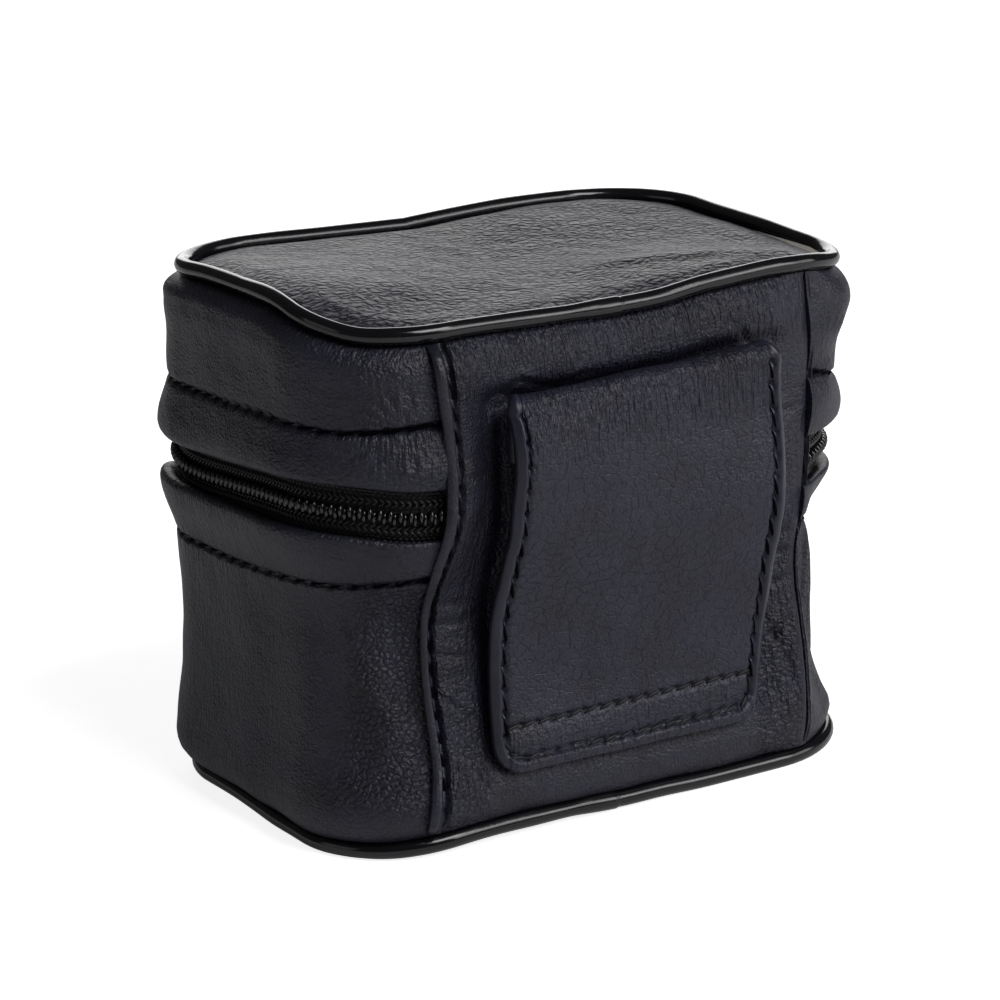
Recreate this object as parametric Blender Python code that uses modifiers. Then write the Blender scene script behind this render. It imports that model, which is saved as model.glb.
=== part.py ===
"""A small soft leather case with a zip round three sides and a belt loop on its back.

The case stands on its bottom panel. Its origin is the middle of that panel's underside, X runs along
the long sides, the belt loop is on the -Y side and the zip sliders are on the +Y side. The lid folds
back about a line across the back panel, between the ends of the zip.
"""
import math

import bmesh
import bpy
from mathutils import Matrix, Vector

MM = 0.001

# Plan of the case, measured on the centre line of the piping
CASE_WIDTH = 94 * MM
CASE_DEPTH = 65.5 * MM
CORNER_RADIUS = 17 * MM
# From the underside to the centre line of the top piping
TOP_PIPING_HEIGHT = 81.6 * MM
# The soft case leans to +X as it rises
LEAN = 2.5 * MM

PIPING_RADIUS = 1.3 * MM
# The bottom panel stands this much lower than the piping round it
PIPING_LIFT = 0.3 * MM
# The top panel lies this much below the middle of the piping round it
TOP_PANEL_SINK = 0.4 * MM
LEATHER = 1.4 * MM
BOARD = 1.2 * MM
LINING = 1.0 * MM
# Room left between two layers that lie against each other
GAP = 0.3 * MM
# The wall's linings start this far above the floor, past the turned-in foot of the wall
LINING_LIFT = 1.5 * MM

# The zip's centre line on the front, level with the fold of the back, and how much higher it runs on the
# left side and lower on the right side of the soft case
ZIP_HEIGHT = 51.8 * MM
ZIP_TILT = 2.6 * MM
# From the zip's centre line to the turned edges of the leather bands
UPPER_EDGE = 4.2 * MM
LOWER_EDGE = 3.6 * MM
# From those edges to the stitch lines, and from there to the far edges of the zip tapes
UPPER_HEM = 7.6 * MM
LOWER_HEM = 8.6 * MM
TAPE_MARGIN = 1.5 * MM
TAPE = 0.6 * MM
COIL_SLOT = 1.4 * MM
COIL_WIDTH = 2.3 * MM
COIL_DEPTH = 1.5 * MM
# The bands stand away from the tapes by this much at their edges, fading out to the back seams
FLARE = 2.0 * MM
FLARE_FADE = 28 * MM

# The back panel's side seams, along the plan from the middle of the back, and the room left in them
SEAM = 33 * MM
SEAM_GAP = 0.7 * MM
# The flatter middle of the back fades out over this width, up to a margin beside the seams
BACK_FADE = 5 * MM
SEAM_MARGIN = 2.5 * MM
# The back's two halves stand this far apart at the fold
FOLD_GAP = 0.6 * MM
# The hinge line lies this far outside the fold
HINGE_OUTSIDE = 0.4 * MM

LOOP_WIDTH = 49 * MM
LOOP_CENTRE = -0.3 * MM
LOOP_BOTTOM = 11 * MM
LOOP_TOP_LEFT = 73.2 * MM
LOOP_TOP_RIGHT = 70.7 * MM
LOOP_THICKNESS = 2.2 * MM
LOOP_CORNER = 5 * MM
LOOP_TAIL = 7 * MM

SLIDER_LENGTH = 11 * MM
SLIDER_WIDTH = 6.0 * MM
SLIDER_PLATE = 1.0 * MM
SLIDER_POST = 0.8 * MM
SLIDER_POST_LENGTH = 4 * MM
SLIDER_ROUNDING = 0.3 * MM
# Half the space between the noses of the two sliders
SLIDER_NOSE_GAP = 1.5 * MM
CROWN_RADIUS = 0.6 * MM
PULL_WIDTH = 4.2 * MM
PULL_LENGTH = 22 * MM
PULL_LEATHER = 1.0 * MM
# The pull's two plies lie together from this far below the crown
PULL_NECK = 4 * MM

# How far the wall stands outside the piping's centre line, in millimetres, by the share of the way
# from the wall's bottom edge to the zip: on the front and sides, at the back seams, and behind the loop
LOWER_FRONT = ((0, 1.2), (0.03, 2.6), (0.07, 3.3), (0.22, 2.4), (0.37, 1.9), (0.57, 2.0), (0.74, 2.6), (1, 2.9))
LOWER_SEAM = (
    (0, 0.5), (0.03, 1.5), (0.08, 2.2), (0.25, 0), (0.52, -1.9),
    (0.71, -1.9), (0.84, 0.3), (0.94, 1.6), (1, 1.8),
)
LOWER_BACK = (
    (0, 0.4), (0.03, 1.4), (0.08, 2.0), (0.25, -0.5), (0.52, -2.2),
    (0.71, -2.4), (0.84, -0.6), (0.94, 1.0), (1, 1.2),
)
# The same by the share of the way from the zip to the wall's top edge
UPPER_FRONT = ((0, 2.9), (0.2, 3.0), (0.43, 3.4), (0.84, 3.4), (0.95, 2.4), (1, 0.6))
UPPER_SEAM = ((0, 1.8), (0.1, 1.8), (0.25, 1.7), (0.41, 1.6), (0.79, 2.2), (0.95, 1.3), (1, 0.3))
UPPER_BACK = ((0, 1.2), (0.1, 1.2), (0.25, 1.1), (0.41, 1.0), (0.62, 1.5), (0.8, 2.5), (0.95, 1.4), (1, 0.2))
# How far the slack strap stands off the back on its left and right sides, in millimetres, by the share of
# the way from its foot to its fold
SLACK_LEFT = (
    (0, 0), (0.16, 0.5), (0.33, 0.8), (0.66, 1.2), (0.7, 2.6), (0.75, 4.8), (0.8, 5.2), (0.85, 5.8), (0.91, 6.8),
    (1, 6.6),
)
SLACK_RIGHT = (
    (0, 0), (0.07, 0.1), (0.14, 1.2), (0.26, 2.8), (0.38, 5.0), (0.51, 5.4), (0.73, 4.9), (0.87, 4.7), (0.94, 3.4),
    (1, 2.6),
)

# The wall's slope is measured over this much height each way
SLOPE_STEP = 0.5 * MM
# Rows of faces that the wall's layers share, by the share of the way from the wall's bottom edge to the
# zip and from the zip to its top edge. A layer leaves out the rows closer than the margin to its own edges
LOWER_ROWS = (0.03, 0.08, 0.16, 0.28, 0.4, 0.52, 0.62, 0.71, 0.78, 0.84, 0.9, 0.95)
UPPER_ROWS = (0.08, 0.16, 0.25, 0.35, 0.45, 0.56, 0.68, 0.8, 0.9, 0.96)
ROW_MARGIN = 0.8 * MM
BAND_COLUMNS = 44
BACK_COLUMNS = 24
LOOP_COLUMNS = 10
RING_POINTS = 64
ROUND_POINTS = 16
BEVEL_RESOLUTION = 2

# Levels and places that follow from the sizes above
BOTTOM_PIPING_HEIGHT = PIPING_LIFT + PIPING_RADIUS
PIPING_CLEARANCE = PIPING_RADIUS + GAP
WALL_BOTTOM = BOTTOM_PIPING_HEIGHT + PIPING_CLEARANCE
WALL_TOP = TOP_PIPING_HEIGHT - PIPING_CLEARANCE
LAYER = LEATHER + GAP
BOTTOM_BOARD = LAYER
BOTTOM_LINING = BOTTOM_BOARD + BOARD + GAP
FLOOR = BOTTOM_LINING + LINING
TOP_PANEL = TOP_PIPING_HEIGHT - TOP_PANEL_SINK - LEATHER
TOP_BOARD = TOP_PANEL - GAP - BOARD
TOP_LINING = TOP_BOARD - GAP - LINING
UPPER_TAPE_EDGE = UPPER_EDGE + UPPER_HEM + TAPE_MARGIN
LOWER_TAPE_EDGE = LOWER_EDGE + LOWER_HEM + TAPE_MARGIN
COIL_OUTER = LAYER - GAP - COIL_DEPTH

HALF_X = CASE_WIDTH / 2 - CORNER_RADIUS
HALF_Y = CASE_DEPTH / 2 - CORNER_RADIUS
CORNER_ARC = CORNER_RADIUS * math.pi / 2
PERIMETER = 4 * (HALF_X + HALF_Y + CORNER_ARC)
BAND_SPAN = (SEAM + SEAM_GAP / 2, PERIMETER - SEAM - SEAM_GAP / 2)
BACK_SPAN = (SEAM_GAP / 2 - SEAM, SEAM - SEAM_GAP / 2)
HINGE_Y = -(CASE_DEPTH / 2 + LOWER_SEAM[-1][1] * MM + HINGE_OUTSIDE)

SLIDER_HEIGHT = ZIP_HEIGHT
ZIP_FACE = CASE_DEPTH / 2 + LOWER_FRONT[-1][1] * MM
INNER_PLATE_Y = ZIP_FACE - LAYER - TAPE - GAP - SLIDER_PLATE
OUTER_PLATE_Y = ZIP_FACE - COIL_OUTER + GAP
CROWN_REACH = GAP + PULL_LEATHER + GAP + CROWN_RADIUS
CROWN_Y = OUTER_PLATE_Y + SLIDER_PLATE + CROWN_REACH
CROWN_HALF = PULL_WIDTH / 2 + GAP + CROWN_RADIUS

for leftover in list(bpy.data.objects):
    bpy.data.objects.remove(leftover)

case = bpy.data.collections.new("leather_case")
cutters = bpy.data.collections.new("cutters")
bpy.context.scene.collection.children.link(case)
bpy.context.scene.collection.children.link(cutters)


def finish(name, colour, roughness, metallic=0.0):
    """A plain material of one colour."""
    material = bpy.data.materials.new(name)
    material.use_nodes = True
    shader = material.node_tree.nodes["Principled BSDF"]
    shader.inputs["Base Color"].default_value = (*colour, 1)
    shader.inputs["Roughness"].default_value = roughness
    shader.inputs["Metallic"].default_value = metallic
    return material


def smooth(value):
    """A step from 0 to 1 with soft ends."""
    value = min(max(value, 0.0), 1.0)
    return value * value * (3 - 2 * value)


def along(stations, share):
    """The value at a share of the way along (share, value) stations, on a smooth curve through them."""
    share = min(max(share, 0.0), 1.0)
    last = len(stations) - 1
    step = next(i for i in range(last) if share <= stations[i + 1][0])

    def slope(i):
        before = stations[max(i - 1, 0)]
        after = stations[min(i + 1, last)]
        return (after[1] - before[1]) / (after[0] - before[0])

    (start, first), (end, second) = stations[step], stations[step + 1]
    width = end - start
    t = (share - start) / width
    rising = t * t * (3 - 2 * t)
    bend = t * (1 - t) ** 2 * slope(step) - t * t * (1 - t) * slope(step + 1)
    return first + (second - first) * rising + width * bend


def lean(height):
    """How far the case has leant to +X at a height."""
    return LEAN * smooth(height / TOP_PIPING_HEIGHT)


def plan(distance):
    """Point and outward direction on the piping's plan, going round from the middle of the back to +X."""
    distance = (distance + HALF_X) % PERIMETER
    runs = ((1, -1, HALF_X), (1, 1, HALF_Y), (-1, 1, HALF_X), (-1, -1, HALF_Y))
    for quarter, (side_x, side_y, half_run) in enumerate(runs):
        turn = (quarter - 1) * math.pi / 2
        outward = Vector((math.cos(turn), math.sin(turn)))
        heading = Vector((-outward.y, outward.x))
        corner = Vector((side_x * HALF_X, side_y * HALF_Y))
        distance -= 2 * half_run
        if distance <= 0:
            return corner + outward * CORNER_RADIUS + heading * distance, outward
        if distance <= CORNER_ARC or quarter == len(runs) - 1:
            angle = turn + distance / CORNER_RADIUS
            outward = Vector((math.cos(angle), math.sin(angle)))
            return corner + outward * CORNER_RADIUS, outward
        distance -= CORNER_ARC


def zip_level(distance):
    """Height of the zip's centre line, or of the fold between the zip's ends."""
    if abs(distance) < SEAM:
        return ZIP_HEIGHT
    point, _ = plan(distance)
    side = min(max(point.x / HALF_X, -1), 1)
    return ZIP_HEIGHT - ZIP_TILT * side * smooth(2 * (CASE_DEPTH / 2 - point.y) / CORNER_RADIUS)


def wall_offset(distance, height):
    """How far the wall's outer face stands outside the piping's centre line."""
    point, _ = plan(distance)
    level = zip_level(distance)
    if height < level:
        share = (height - WALL_BOTTOM) / (level - WALL_BOTTOM)
        profiles = (LOWER_FRONT, LOWER_SEAM, LOWER_BACK)
    else:
        share = (height - level) / (WALL_TOP - level)
        profiles = (UPPER_FRONT, UPPER_SEAM, UPPER_BACK)
    front, seam, back = (along(profile, share) * MM for profile in profiles)
    side = front + (seam - front) * smooth(-point.y / (CASE_DEPTH / 2))
    if point.y > -HALF_Y:
        return side
    return side + (back - side) * smooth((SEAM - SEAM_MARGIN - abs(point.x)) / BACK_FADE)


def wall_point(distance, height, depth=0.0, outside=0.0):
    """A point some depth behind the wall's outer face, level with it, after moving the face outwards."""
    point, outward = plan(distance)
    offset = wall_offset(distance, height)
    rise = wall_offset(distance, height + SLOPE_STEP) - wall_offset(distance, height - SLOPE_STEP)
    sloped_depth = depth * math.hypot(1, rise / (2 * SLOPE_STEP))
    point = point + outward * (offset - sloped_depth + outside)
    return Vector((point.x + lean(height), point.y, height))


def flare(distance, height):
    """How far a band stands away from the zip tape, between its stitch line and its edge."""
    level = zip_level(distance)
    if height < level:
        opening = (height - level + LOWER_EDGE + LOWER_HEM) / LOWER_HEM
    else:
        opening = (level + UPPER_EDGE + UPPER_HEM - height) / UPPER_HEM
    from_seam = min(distance - SEAM, PERIMETER - SEAM - distance)
    return FLARE * smooth(opening) * smooth(from_seam / FLARE_FADE)


def join(obj, material, parent):
    """Give an object its material, its collection and what it moves with."""
    obj.data.materials.append(material)
    case.objects.link(obj)
    obj.parent = parent
    obj.matrix_parent_inverse = Matrix.Translation(parent.location).inverted()
    return obj


def grid(name, columns, rows, place):
    """A mesh grid whose points are placed by their share across and the number of their row."""
    bm = bmesh.new()
    bmesh.ops.create_grid(bm, x_segments=columns, y_segments=rows, size=0.5)
    for vertex in bm.verts:
        vertex.co = place(vertex.co.x + 0.5, round((vertex.co.y + 0.5) * rows))
    mesh = bpy.data.meshes.new(name)
    bm.to_mesh(mesh)
    bm.free()
    mesh.shade_smooth()
    return bpy.data.objects.new(name, mesh)


def thicken(obj, thickness):
    """Give a sheet its thickness, behind its outer face."""
    solidify = obj.modifiers.new("thickness", "SOLIDIFY")
    solidify.thickness = thickness
    solidify.offset = -1
    solidify.use_even_offset = True


def row_height(distance, row, upper):
    """Height of one of the rows that the wall's layers share."""
    level = zip_level(distance)
    if upper:
        return level + (WALL_TOP - level) * row
    return WALL_BOTTOM + (level - WALL_BOTTOM) * row


def layer(name, span, levels, upper, depth, thickness, material, parent, flared=False):
    """A sheet that follows the wall some depth behind its outer face, between two levels."""
    columns = BACK_COLUMNS if span == BACK_SPAN else BAND_COLUMNS
    inner_rows = []
    for row in UPPER_ROWS if upper else LOWER_ROWS:
        rooms = []
        for distance in (0, PERIMETER / 2):
            low, high = levels(distance)
            height = row_height(distance, row, upper)
            rooms += [height - low, high - height]
        if min(rooms) > ROW_MARGIN:
            inner_rows.append(row)
    rows = len(inner_rows) + 1

    def place(across, row):
        distance = span[0] + (span[1] - span[0]) * across
        low, high = levels(distance)
        height = low if row == 0 else high
        if 0 < row < rows:
            height = row_height(distance, inner_rows[row - 1], upper)
        outside = flare(distance, height) if flared else 0.0
        return wall_point(distance, height, depth, outside)

    obj = grid(name, columns, rows, place)
    thicken(obj, thickness)
    return join(obj, material, parent)


def outline(inset):
    """Points of the case's plan, drawn in from the piping's centre line."""
    points = []
    for i in range(RING_POINTS):
        point, outward = plan(PERIMETER * i / RING_POINTS)
        points.append(point - outward * inset)
    return points


def flat_curve(name, outlines, thickness):
    """A flat plate from closed outlines, with its lower face at its origin's level."""
    curve = bpy.data.curves.new(name, "CURVE")
    curve.dimensions = "2D"
    curve.fill_mode = "BOTH"
    curve.extrude = thickness / 2
    for points in outlines:
        spline = curve.splines.new("POLY")
        spline.points.add(len(points) - 1)
        for target, point in zip(spline.points, points):
            target.co = (*point, 0, 1)
        spline.use_cyclic_u = True
    return bpy.data.objects.new(name, curve)


def panel(name, underside, thickness, material, parent):
    """A flat panel, board or lining inside the piping."""
    obj = flat_curve(name, [outline(PIPING_CLEARANCE)], thickness)
    obj.location = (lean(underside), 0, underside + thickness / 2)
    return join(obj, material, parent)


def piping(name, height, material, parent):
    """The round cord along an edge."""
    curve = bpy.data.curves.new(name, "CURVE")
    curve.dimensions = "3D"
    curve.bevel_depth = PIPING_RADIUS
    curve.bevel_resolution = BEVEL_RESOLUTION
    spline = curve.splines.new("POLY")
    points = outline(0)
    spline.points.add(len(points) - 1)
    for target, point in zip(spline.points, points):
        target.co = (*point, 0, 1)
    spline.use_cyclic_u = True
    obj = bpy.data.objects.new(name, curve)
    obj.location = (lean(height), 0, height)
    return join(obj, material, parent)


def belt_loop(material, parent):
    """The strap: sewn down at the foot, standing off the back, folded over and sewn behind its top."""
    corner_rows = 3
    strap_rows = 15
    fold_rows = 6
    tail_rows = 3

    def place(across, row):
        side = 2 * across - 1
        half = LOOP_WIDTH / 2
        x = LOOP_CENTRE + side * half
        top_slack = (SLACK_LEFT[-1][1] + (SLACK_RIGHT[-1][1] - SLACK_LEFT[-1][1]) * across) * MM
        fold_radius = (top_slack + LOOP_THICKNESS) / 2
        fold_height = LOOP_TOP_LEFT + (LOOP_TOP_RIGHT - LOOP_TOP_LEFT) * across - fold_radius
        outside = GAP
        if row <= strap_rows:
            turn = math.pi / 2 * min(row / corner_rows, 1)
            straight = max(row - corner_rows, 0) / (strap_rows - corner_rows)
            corner_top = LOOP_BOTTOM + LOOP_CORNER
            height = corner_top - LOOP_CORNER * math.cos(turn) + (fold_height - corner_top) * straight
            share = (height - LOOP_BOTTOM) / (fold_height - LOOP_BOTTOM)
            left, right = along(SLACK_LEFT, share) * MM, along(SLACK_RIGHT, share) * MM
            outside += LOOP_THICKNESS + left + (right - left) * across
            x = LOOP_CENTRE + side * (half - LOOP_CORNER * (1 - math.sin(turn)))
        elif row <= strap_rows + fold_rows:
            angle = math.pi * (row - strap_rows) / fold_rows
            height = fold_height + fold_radius * math.sin(angle)
            outside += fold_radius * (1 + math.cos(angle))
        else:
            height = fold_height - LOOP_TAIL * (row - strap_rows - fold_rows) / tail_rows
        anchor = wall_point(x, min(height, fold_height))
        return Vector((anchor.x, anchor.y - outside, height))

    obj = grid("belt_loop", LOOP_COLUMNS, strap_rows + fold_rows + tail_rows, place)
    thicken(obj, LOOP_THICKNESS)
    return join(obj, material, parent)


def solid_box(name, low, high):
    """A box between two corners with slightly rounded edges."""
    low, high = Vector(low), Vector(high)
    bm = bmesh.new()
    bmesh.ops.create_cube(bm, size=1)
    for vertex in bm.verts:
        vertex.co = (low + high) / 2 + vertex.co * (high - low)
    bmesh.ops.bevel(bm, geom=bm.edges[:], offset=SLIDER_ROUNDING, segments=1, affect="EDGES")
    mesh = bpy.data.meshes.new(name)
    bm.to_mesh(mesh)
    bm.free()
    return bpy.data.objects.new(name, mesh)


def crown_wire(name):
    """The arch that the pull is threaded through, as a closed mesh."""
    curve = bpy.data.curves.new(name, "CURVE")
    curve.dimensions = "3D"
    curve.bevel_depth = CROWN_RADIUS
    curve.bevel_resolution = BEVEL_RESOLUTION
    curve.use_fill_caps = True
    foot = -CROWN_REACH - SLIDER_PLATE / 2
    corner = CROWN_RADIUS
    half = ((CROWN_HALF, foot), (CROWN_HALF, -corner), (CROWN_HALF - corner, 0))
    points = [*half, *((-x, y) for x, y in reversed(half))]
    spline = curve.splines.new("POLY")
    spline.points.add(len(points) - 1)
    for target, (x, y) in zip(spline.points, points):
        target.co = (x, y + CROWN_Y, 0, 1)
    drawn = bpy.data.objects.new(name, curve)
    cutters.objects.link(drawn)
    evaluated = drawn.evaluated_get(bpy.context.evaluated_depsgraph_get())
    mesh = bpy.data.meshes.new_from_object(evaluated)
    bpy.data.objects.remove(drawn)
    bm = bmesh.new()
    bm.from_mesh(mesh)
    bmesh.ops.remove_doubles(bm, verts=bm.verts[:], dist=GAP / 100)
    bm.to_mesh(mesh)
    bm.free()
    return bpy.data.objects.new(name, mesh)


def slider(name, side, material, parent):
    """A zip slider: a plate on each face of the zip, the post between them and the crown for the pull."""
    length = SLIDER_LENGTH / 2
    width = SLIDER_WIDTH / 2
    body = solid_box(
        name,
        (-length, OUTER_PLATE_Y, -width),
        (length, OUTER_PLATE_Y + SLIDER_PLATE, width),
    )
    inner = solid_box(
        name + "_inner_plate",
        (-length, INNER_PLATE_Y, -width),
        (length, INNER_PLATE_Y + SLIDER_PLATE, width),
    )
    post = bpy.data.objects.new(name + "_post", bpy.data.meshes.new(name + "_post"))
    bm = bmesh.new()
    bmesh.ops.create_cube(bm, size=1)
    post_low = INNER_PLATE_Y + SLIDER_PLATE / 2
    post_high = OUTER_PLATE_Y + SLIDER_PLATE / 2
    bmesh.ops.scale(bm, verts=bm.verts[:], vec=(SLIDER_POST_LENGTH, post_high - post_low, SLIDER_POST))
    bmesh.ops.translate(bm, verts=bm.verts[:], vec=(0, (post_low + post_high) / 2, 0))
    bm.to_mesh(post.data)
    bm.free()
    place = Vector((side * (SLIDER_NOSE_GAP + length) + lean(SLIDER_HEIGHT), 0, SLIDER_HEIGHT))
    for extra in (inner, post, crown_wire(name + "_crown")):
        cutters.objects.link(extra)
        extra.location = place
        extra.hide_render = True
        extra.display_type = "WIRE"
        union = body.modifiers.new(extra.name, "BOOLEAN")
        union.operation = "UNION"
        union.object = extra
    body.location = place
    return join(body, material, parent)


def pull(name, carrier, material):
    """A leather strip folded through the crown, hanging down. It turns about the crown's bar."""
    eye = CROWN_RADIUS + GAP
    outer = eye + PULL_LEATHER
    wrap_start = math.radians(-40)
    wrap = math.pi - 2 * wrap_start
    turns = [wrap_start + wrap * i / ROUND_POINTS for i in range(ROUND_POINTS + 1)]
    strip = [(outer * math.cos(turn), outer * math.sin(turn)) for turn in turns]
    strip += [(-PULL_LEATHER, -PULL_NECK), (-PULL_LEATHER, -PULL_LENGTH)]
    strip += [(PULL_LEATHER, -PULL_LENGTH), (PULL_LEATHER, -PULL_NECK)]
    around = [2 * math.pi * i / ROUND_POINTS for i in range(ROUND_POINTS)]
    hole = [(eye * math.cos(turn), eye * math.sin(turn)) for turn in around]
    obj = flat_curve(name, [strip, hole], PULL_WIDTH)
    obj.rotation_euler = (math.pi / 2, 0, math.pi / 2)
    obj.location = carrier.location + Vector((0, CROWN_Y, 0))
    return join(obj, material, carrier)


def pivot(name, location):
    """An empty on a joint's axis, which carries what turns about it."""
    empty = bpy.data.objects.new(name, None)
    empty.location = location
    case.objects.link(empty)
    return empty


def floor_to_zip(distance):
    return WALL_BOTTOM, zip_level(distance) - LOWER_EDGE


def zip_to_top(distance):
    return zip_level(distance) + UPPER_EDGE, WALL_TOP


def lower_lining_levels(distance):
    return FLOOR + LINING_LIFT, zip_level(distance) - LOWER_TAPE_EDGE - GAP


def upper_lining_levels(distance):
    return zip_level(distance) + UPPER_TAPE_EDGE + GAP, TOP_LINING - GAP


def lower_tape_levels(distance):
    level = zip_level(distance)
    return level - LOWER_TAPE_EDGE, level - COIL_SLOT / 2


def upper_tape_levels(distance):
    level = zip_level(distance)
    return level + COIL_SLOT / 2, level + UPPER_TAPE_EDGE


def lower_coil_levels(distance):
    level = zip_level(distance) - COIL_SLOT / 2
    return level - COIL_WIDTH, level


def upper_coil_levels(distance):
    level = zip_level(distance) + COIL_SLOT / 2
    return level, level + COIL_WIDTH


def main():
    leather = finish("black_grained_leather", (0.022, 0.024, 0.028), 0.5)
    vinyl = finish("black_piping_vinyl", (0.02, 0.021, 0.024), 0.32)
    board = finish("grey_stiffener_board", (0.25, 0.24, 0.22), 0.9)
    lining = finish("black_lining_cloth", (0.018, 0.018, 0.02), 0.9)
    tape = finish("black_woven_tape", (0.012, 0.012, 0.013), 0.8)
    coil = finish("black_nylon_coil", (0.014, 0.014, 0.015), 0.35)
    metal = finish("black_enamelled_metal", (0.02, 0.02, 0.021), 0.3, 1.0)

    base = pivot("base", (0, 0, 0))
    lid = pivot("lid_hinge", (0, HINGE_Y, ZIP_HEIGHT))

    panel("bottom_panel", 0, LEATHER, leather, base)
    panel("bottom_board", BOTTOM_BOARD, BOARD, board, base)
    panel("bottom_lining", BOTTOM_LINING, LINING, lining, base)
    piping("bottom_piping", BOTTOM_PIPING_HEIGHT, vinyl, base)
    panel("top_panel", TOP_PANEL, LEATHER, leather, lid)
    panel("top_board", TOP_BOARD, BOARD, board, lid)
    panel("top_lining", TOP_LINING, LINING, lining, lid)
    piping("top_piping", TOP_PIPING_HEIGHT, vinyl, lid)

    layer("lower_band", BAND_SPAN, floor_to_zip, False, 0, LEATHER, leather, base, flared=True)
    layer("upper_band", BAND_SPAN, zip_to_top, True, 0, LEATHER, leather, lid, flared=True)
    layer("lower_band_lining", BAND_SPAN, lower_lining_levels, False, LAYER, LINING, lining, base)
    layer("upper_band_lining", BAND_SPAN, upper_lining_levels, True, LAYER, LINING, lining, lid)
    layer("lower_zip_tape", BAND_SPAN, lower_tape_levels, False, LAYER, TAPE, tape, base)
    layer("upper_zip_tape", BAND_SPAN, upper_tape_levels, True, LAYER, TAPE, tape, lid)
    layer("lower_zip_coil", BAND_SPAN, lower_coil_levels, False, COIL_OUTER, COIL_DEPTH, coil, base)
    layer("upper_zip_coil", BAND_SPAN, upper_coil_levels, True, COIL_OUTER, COIL_DEPTH, coil, lid)

    fold_low = ZIP_HEIGHT - FOLD_GAP / 2
    fold_high = ZIP_HEIGHT + FOLD_GAP / 2
    below = (WALL_BOTTOM, fold_low)
    above = (fold_high, WALL_TOP)
    lined_below = (FLOOR + LINING_LIFT, fold_low)
    lined_above = (fold_high, TOP_LINING - GAP)
    layer("back_panel_lower", BACK_SPAN, lambda _: below, False, 0, LEATHER, leather, base)
    layer("back_panel_upper", BACK_SPAN, lambda _: above, True, 0, LEATHER, leather, lid)
    layer("back_lining_lower", BACK_SPAN, lambda _: lined_below, False, LAYER, LINING, lining, base)
    layer("back_lining_upper", BACK_SPAN, lambda _: lined_above, True, LAYER, LINING, lining, lid)
    belt_loop(leather, base)

    for side, name in ((-1, "left"), (1, "right")):
        carrier = slider(name + "_slider", side, metal, base)
        pull(name + "_pull", carrier, leather)


main()
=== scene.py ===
"""The looks of a small soft case of black leather, with a zip round three sides and a belt loop.

Shapes are worked out in millimetres and turned to metres when a mesh is made. A place on the case's wall
is a distance along the plan, from the middle of the back towards +X, and a height above the floor.
"""
import math

import bmesh
import bpy
import numpy as np
from mathutils import Matrix, Vector


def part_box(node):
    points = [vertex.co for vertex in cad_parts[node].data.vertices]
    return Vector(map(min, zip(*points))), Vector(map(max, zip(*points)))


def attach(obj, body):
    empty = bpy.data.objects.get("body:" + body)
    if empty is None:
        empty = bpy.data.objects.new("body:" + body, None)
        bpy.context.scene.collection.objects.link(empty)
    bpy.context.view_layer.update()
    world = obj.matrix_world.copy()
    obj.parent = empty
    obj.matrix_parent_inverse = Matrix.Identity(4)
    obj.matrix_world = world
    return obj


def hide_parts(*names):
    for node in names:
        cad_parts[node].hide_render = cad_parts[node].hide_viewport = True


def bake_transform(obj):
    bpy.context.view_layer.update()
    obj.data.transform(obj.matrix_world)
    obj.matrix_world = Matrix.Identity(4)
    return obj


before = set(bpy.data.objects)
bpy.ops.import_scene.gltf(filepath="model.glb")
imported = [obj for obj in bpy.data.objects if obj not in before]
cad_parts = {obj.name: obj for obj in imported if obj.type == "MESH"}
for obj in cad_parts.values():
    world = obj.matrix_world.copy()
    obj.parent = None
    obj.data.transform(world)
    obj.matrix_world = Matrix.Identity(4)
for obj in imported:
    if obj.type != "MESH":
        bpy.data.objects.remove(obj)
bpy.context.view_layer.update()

MM = 0.001


def extent(node):
    """A node's lowest and highest corners in millimetres."""
    low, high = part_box(node)
    return np.array(low) / MM, np.array(high) / MM


# The photograph's view of the case, in degrees and millimetres
VIEW_AZIMUTH = -30.8
VIEW_ELEVATION = 16.6
VIEW_ROLL = -2.3
VIEW_DISTANCE = 600
VIEW_TARGET = (0, 1.25, 42.0)
LENS = 135.25
SENSOR_WIDTH = 36

# Plan of the case on the centre line of the piping, and the piping's levels
bottom_low, bottom_high = extent("bottom_piping")
top_low, top_high = extent("top_piping")
PIPING_RADIUS = (bottom_high[2] - bottom_low[2]) / 2
HALF_WIDTH = (bottom_high[0] - bottom_low[0]) / 2 - PIPING_RADIUS
HALF_DEPTH = (bottom_high[1] - bottom_low[1]) / 2 - PIPING_RADIUS
CORNER_RADIUS = 17.0
HALF_X = HALF_WIDTH - CORNER_RADIUS
HALF_Y = HALF_DEPTH - CORNER_RADIUS
CORNER_ARC = CORNER_RADIUS * math.pi / 2
PERIMETER = 4 * (HALF_X + HALF_Y + CORNER_ARC)
BOTTOM_RING = (bottom_low[2] + bottom_high[2]) / 2
TOP_RING = (top_low[2] + top_high[2]) / 2
LEAN = (top_low[0] + top_high[0]) / 2
WALL_BOTTOM = extent("back_panel_lower")[0][2]
WALL_TOP = extent("back_panel_upper")[1][2]

# The zip's centre line, which runs higher on the left and lower on the right, and what lies beside it
ZIP_HEIGHT = (extent("back_panel_lower")[1][2] + extent("back_panel_upper")[0][2]) / 2
ZIP_TILT = 2.6
UPPER_EDGE = 4.2
LOWER_EDGE = 3.6
UPPER_HEM = 6.8
LOWER_HEM = 9.4
# The zip's line wanders along the left side, where it and the edge above it also hang down
ZIP_WAVE = (
    (-100, 0), (-85, -0.1), (-74, 0.2), (-62, 0.8), (-51, 1.0), (-44, 0.5), (-38, -0.4), (-33, -0.7),
)
ZIP_DROOP = ((-112, 0), (-98, 1.0), (-88, 1.6), (-74, 1.1), (-62, 0.7), (-52, 0.4), (-42, 0))
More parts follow.
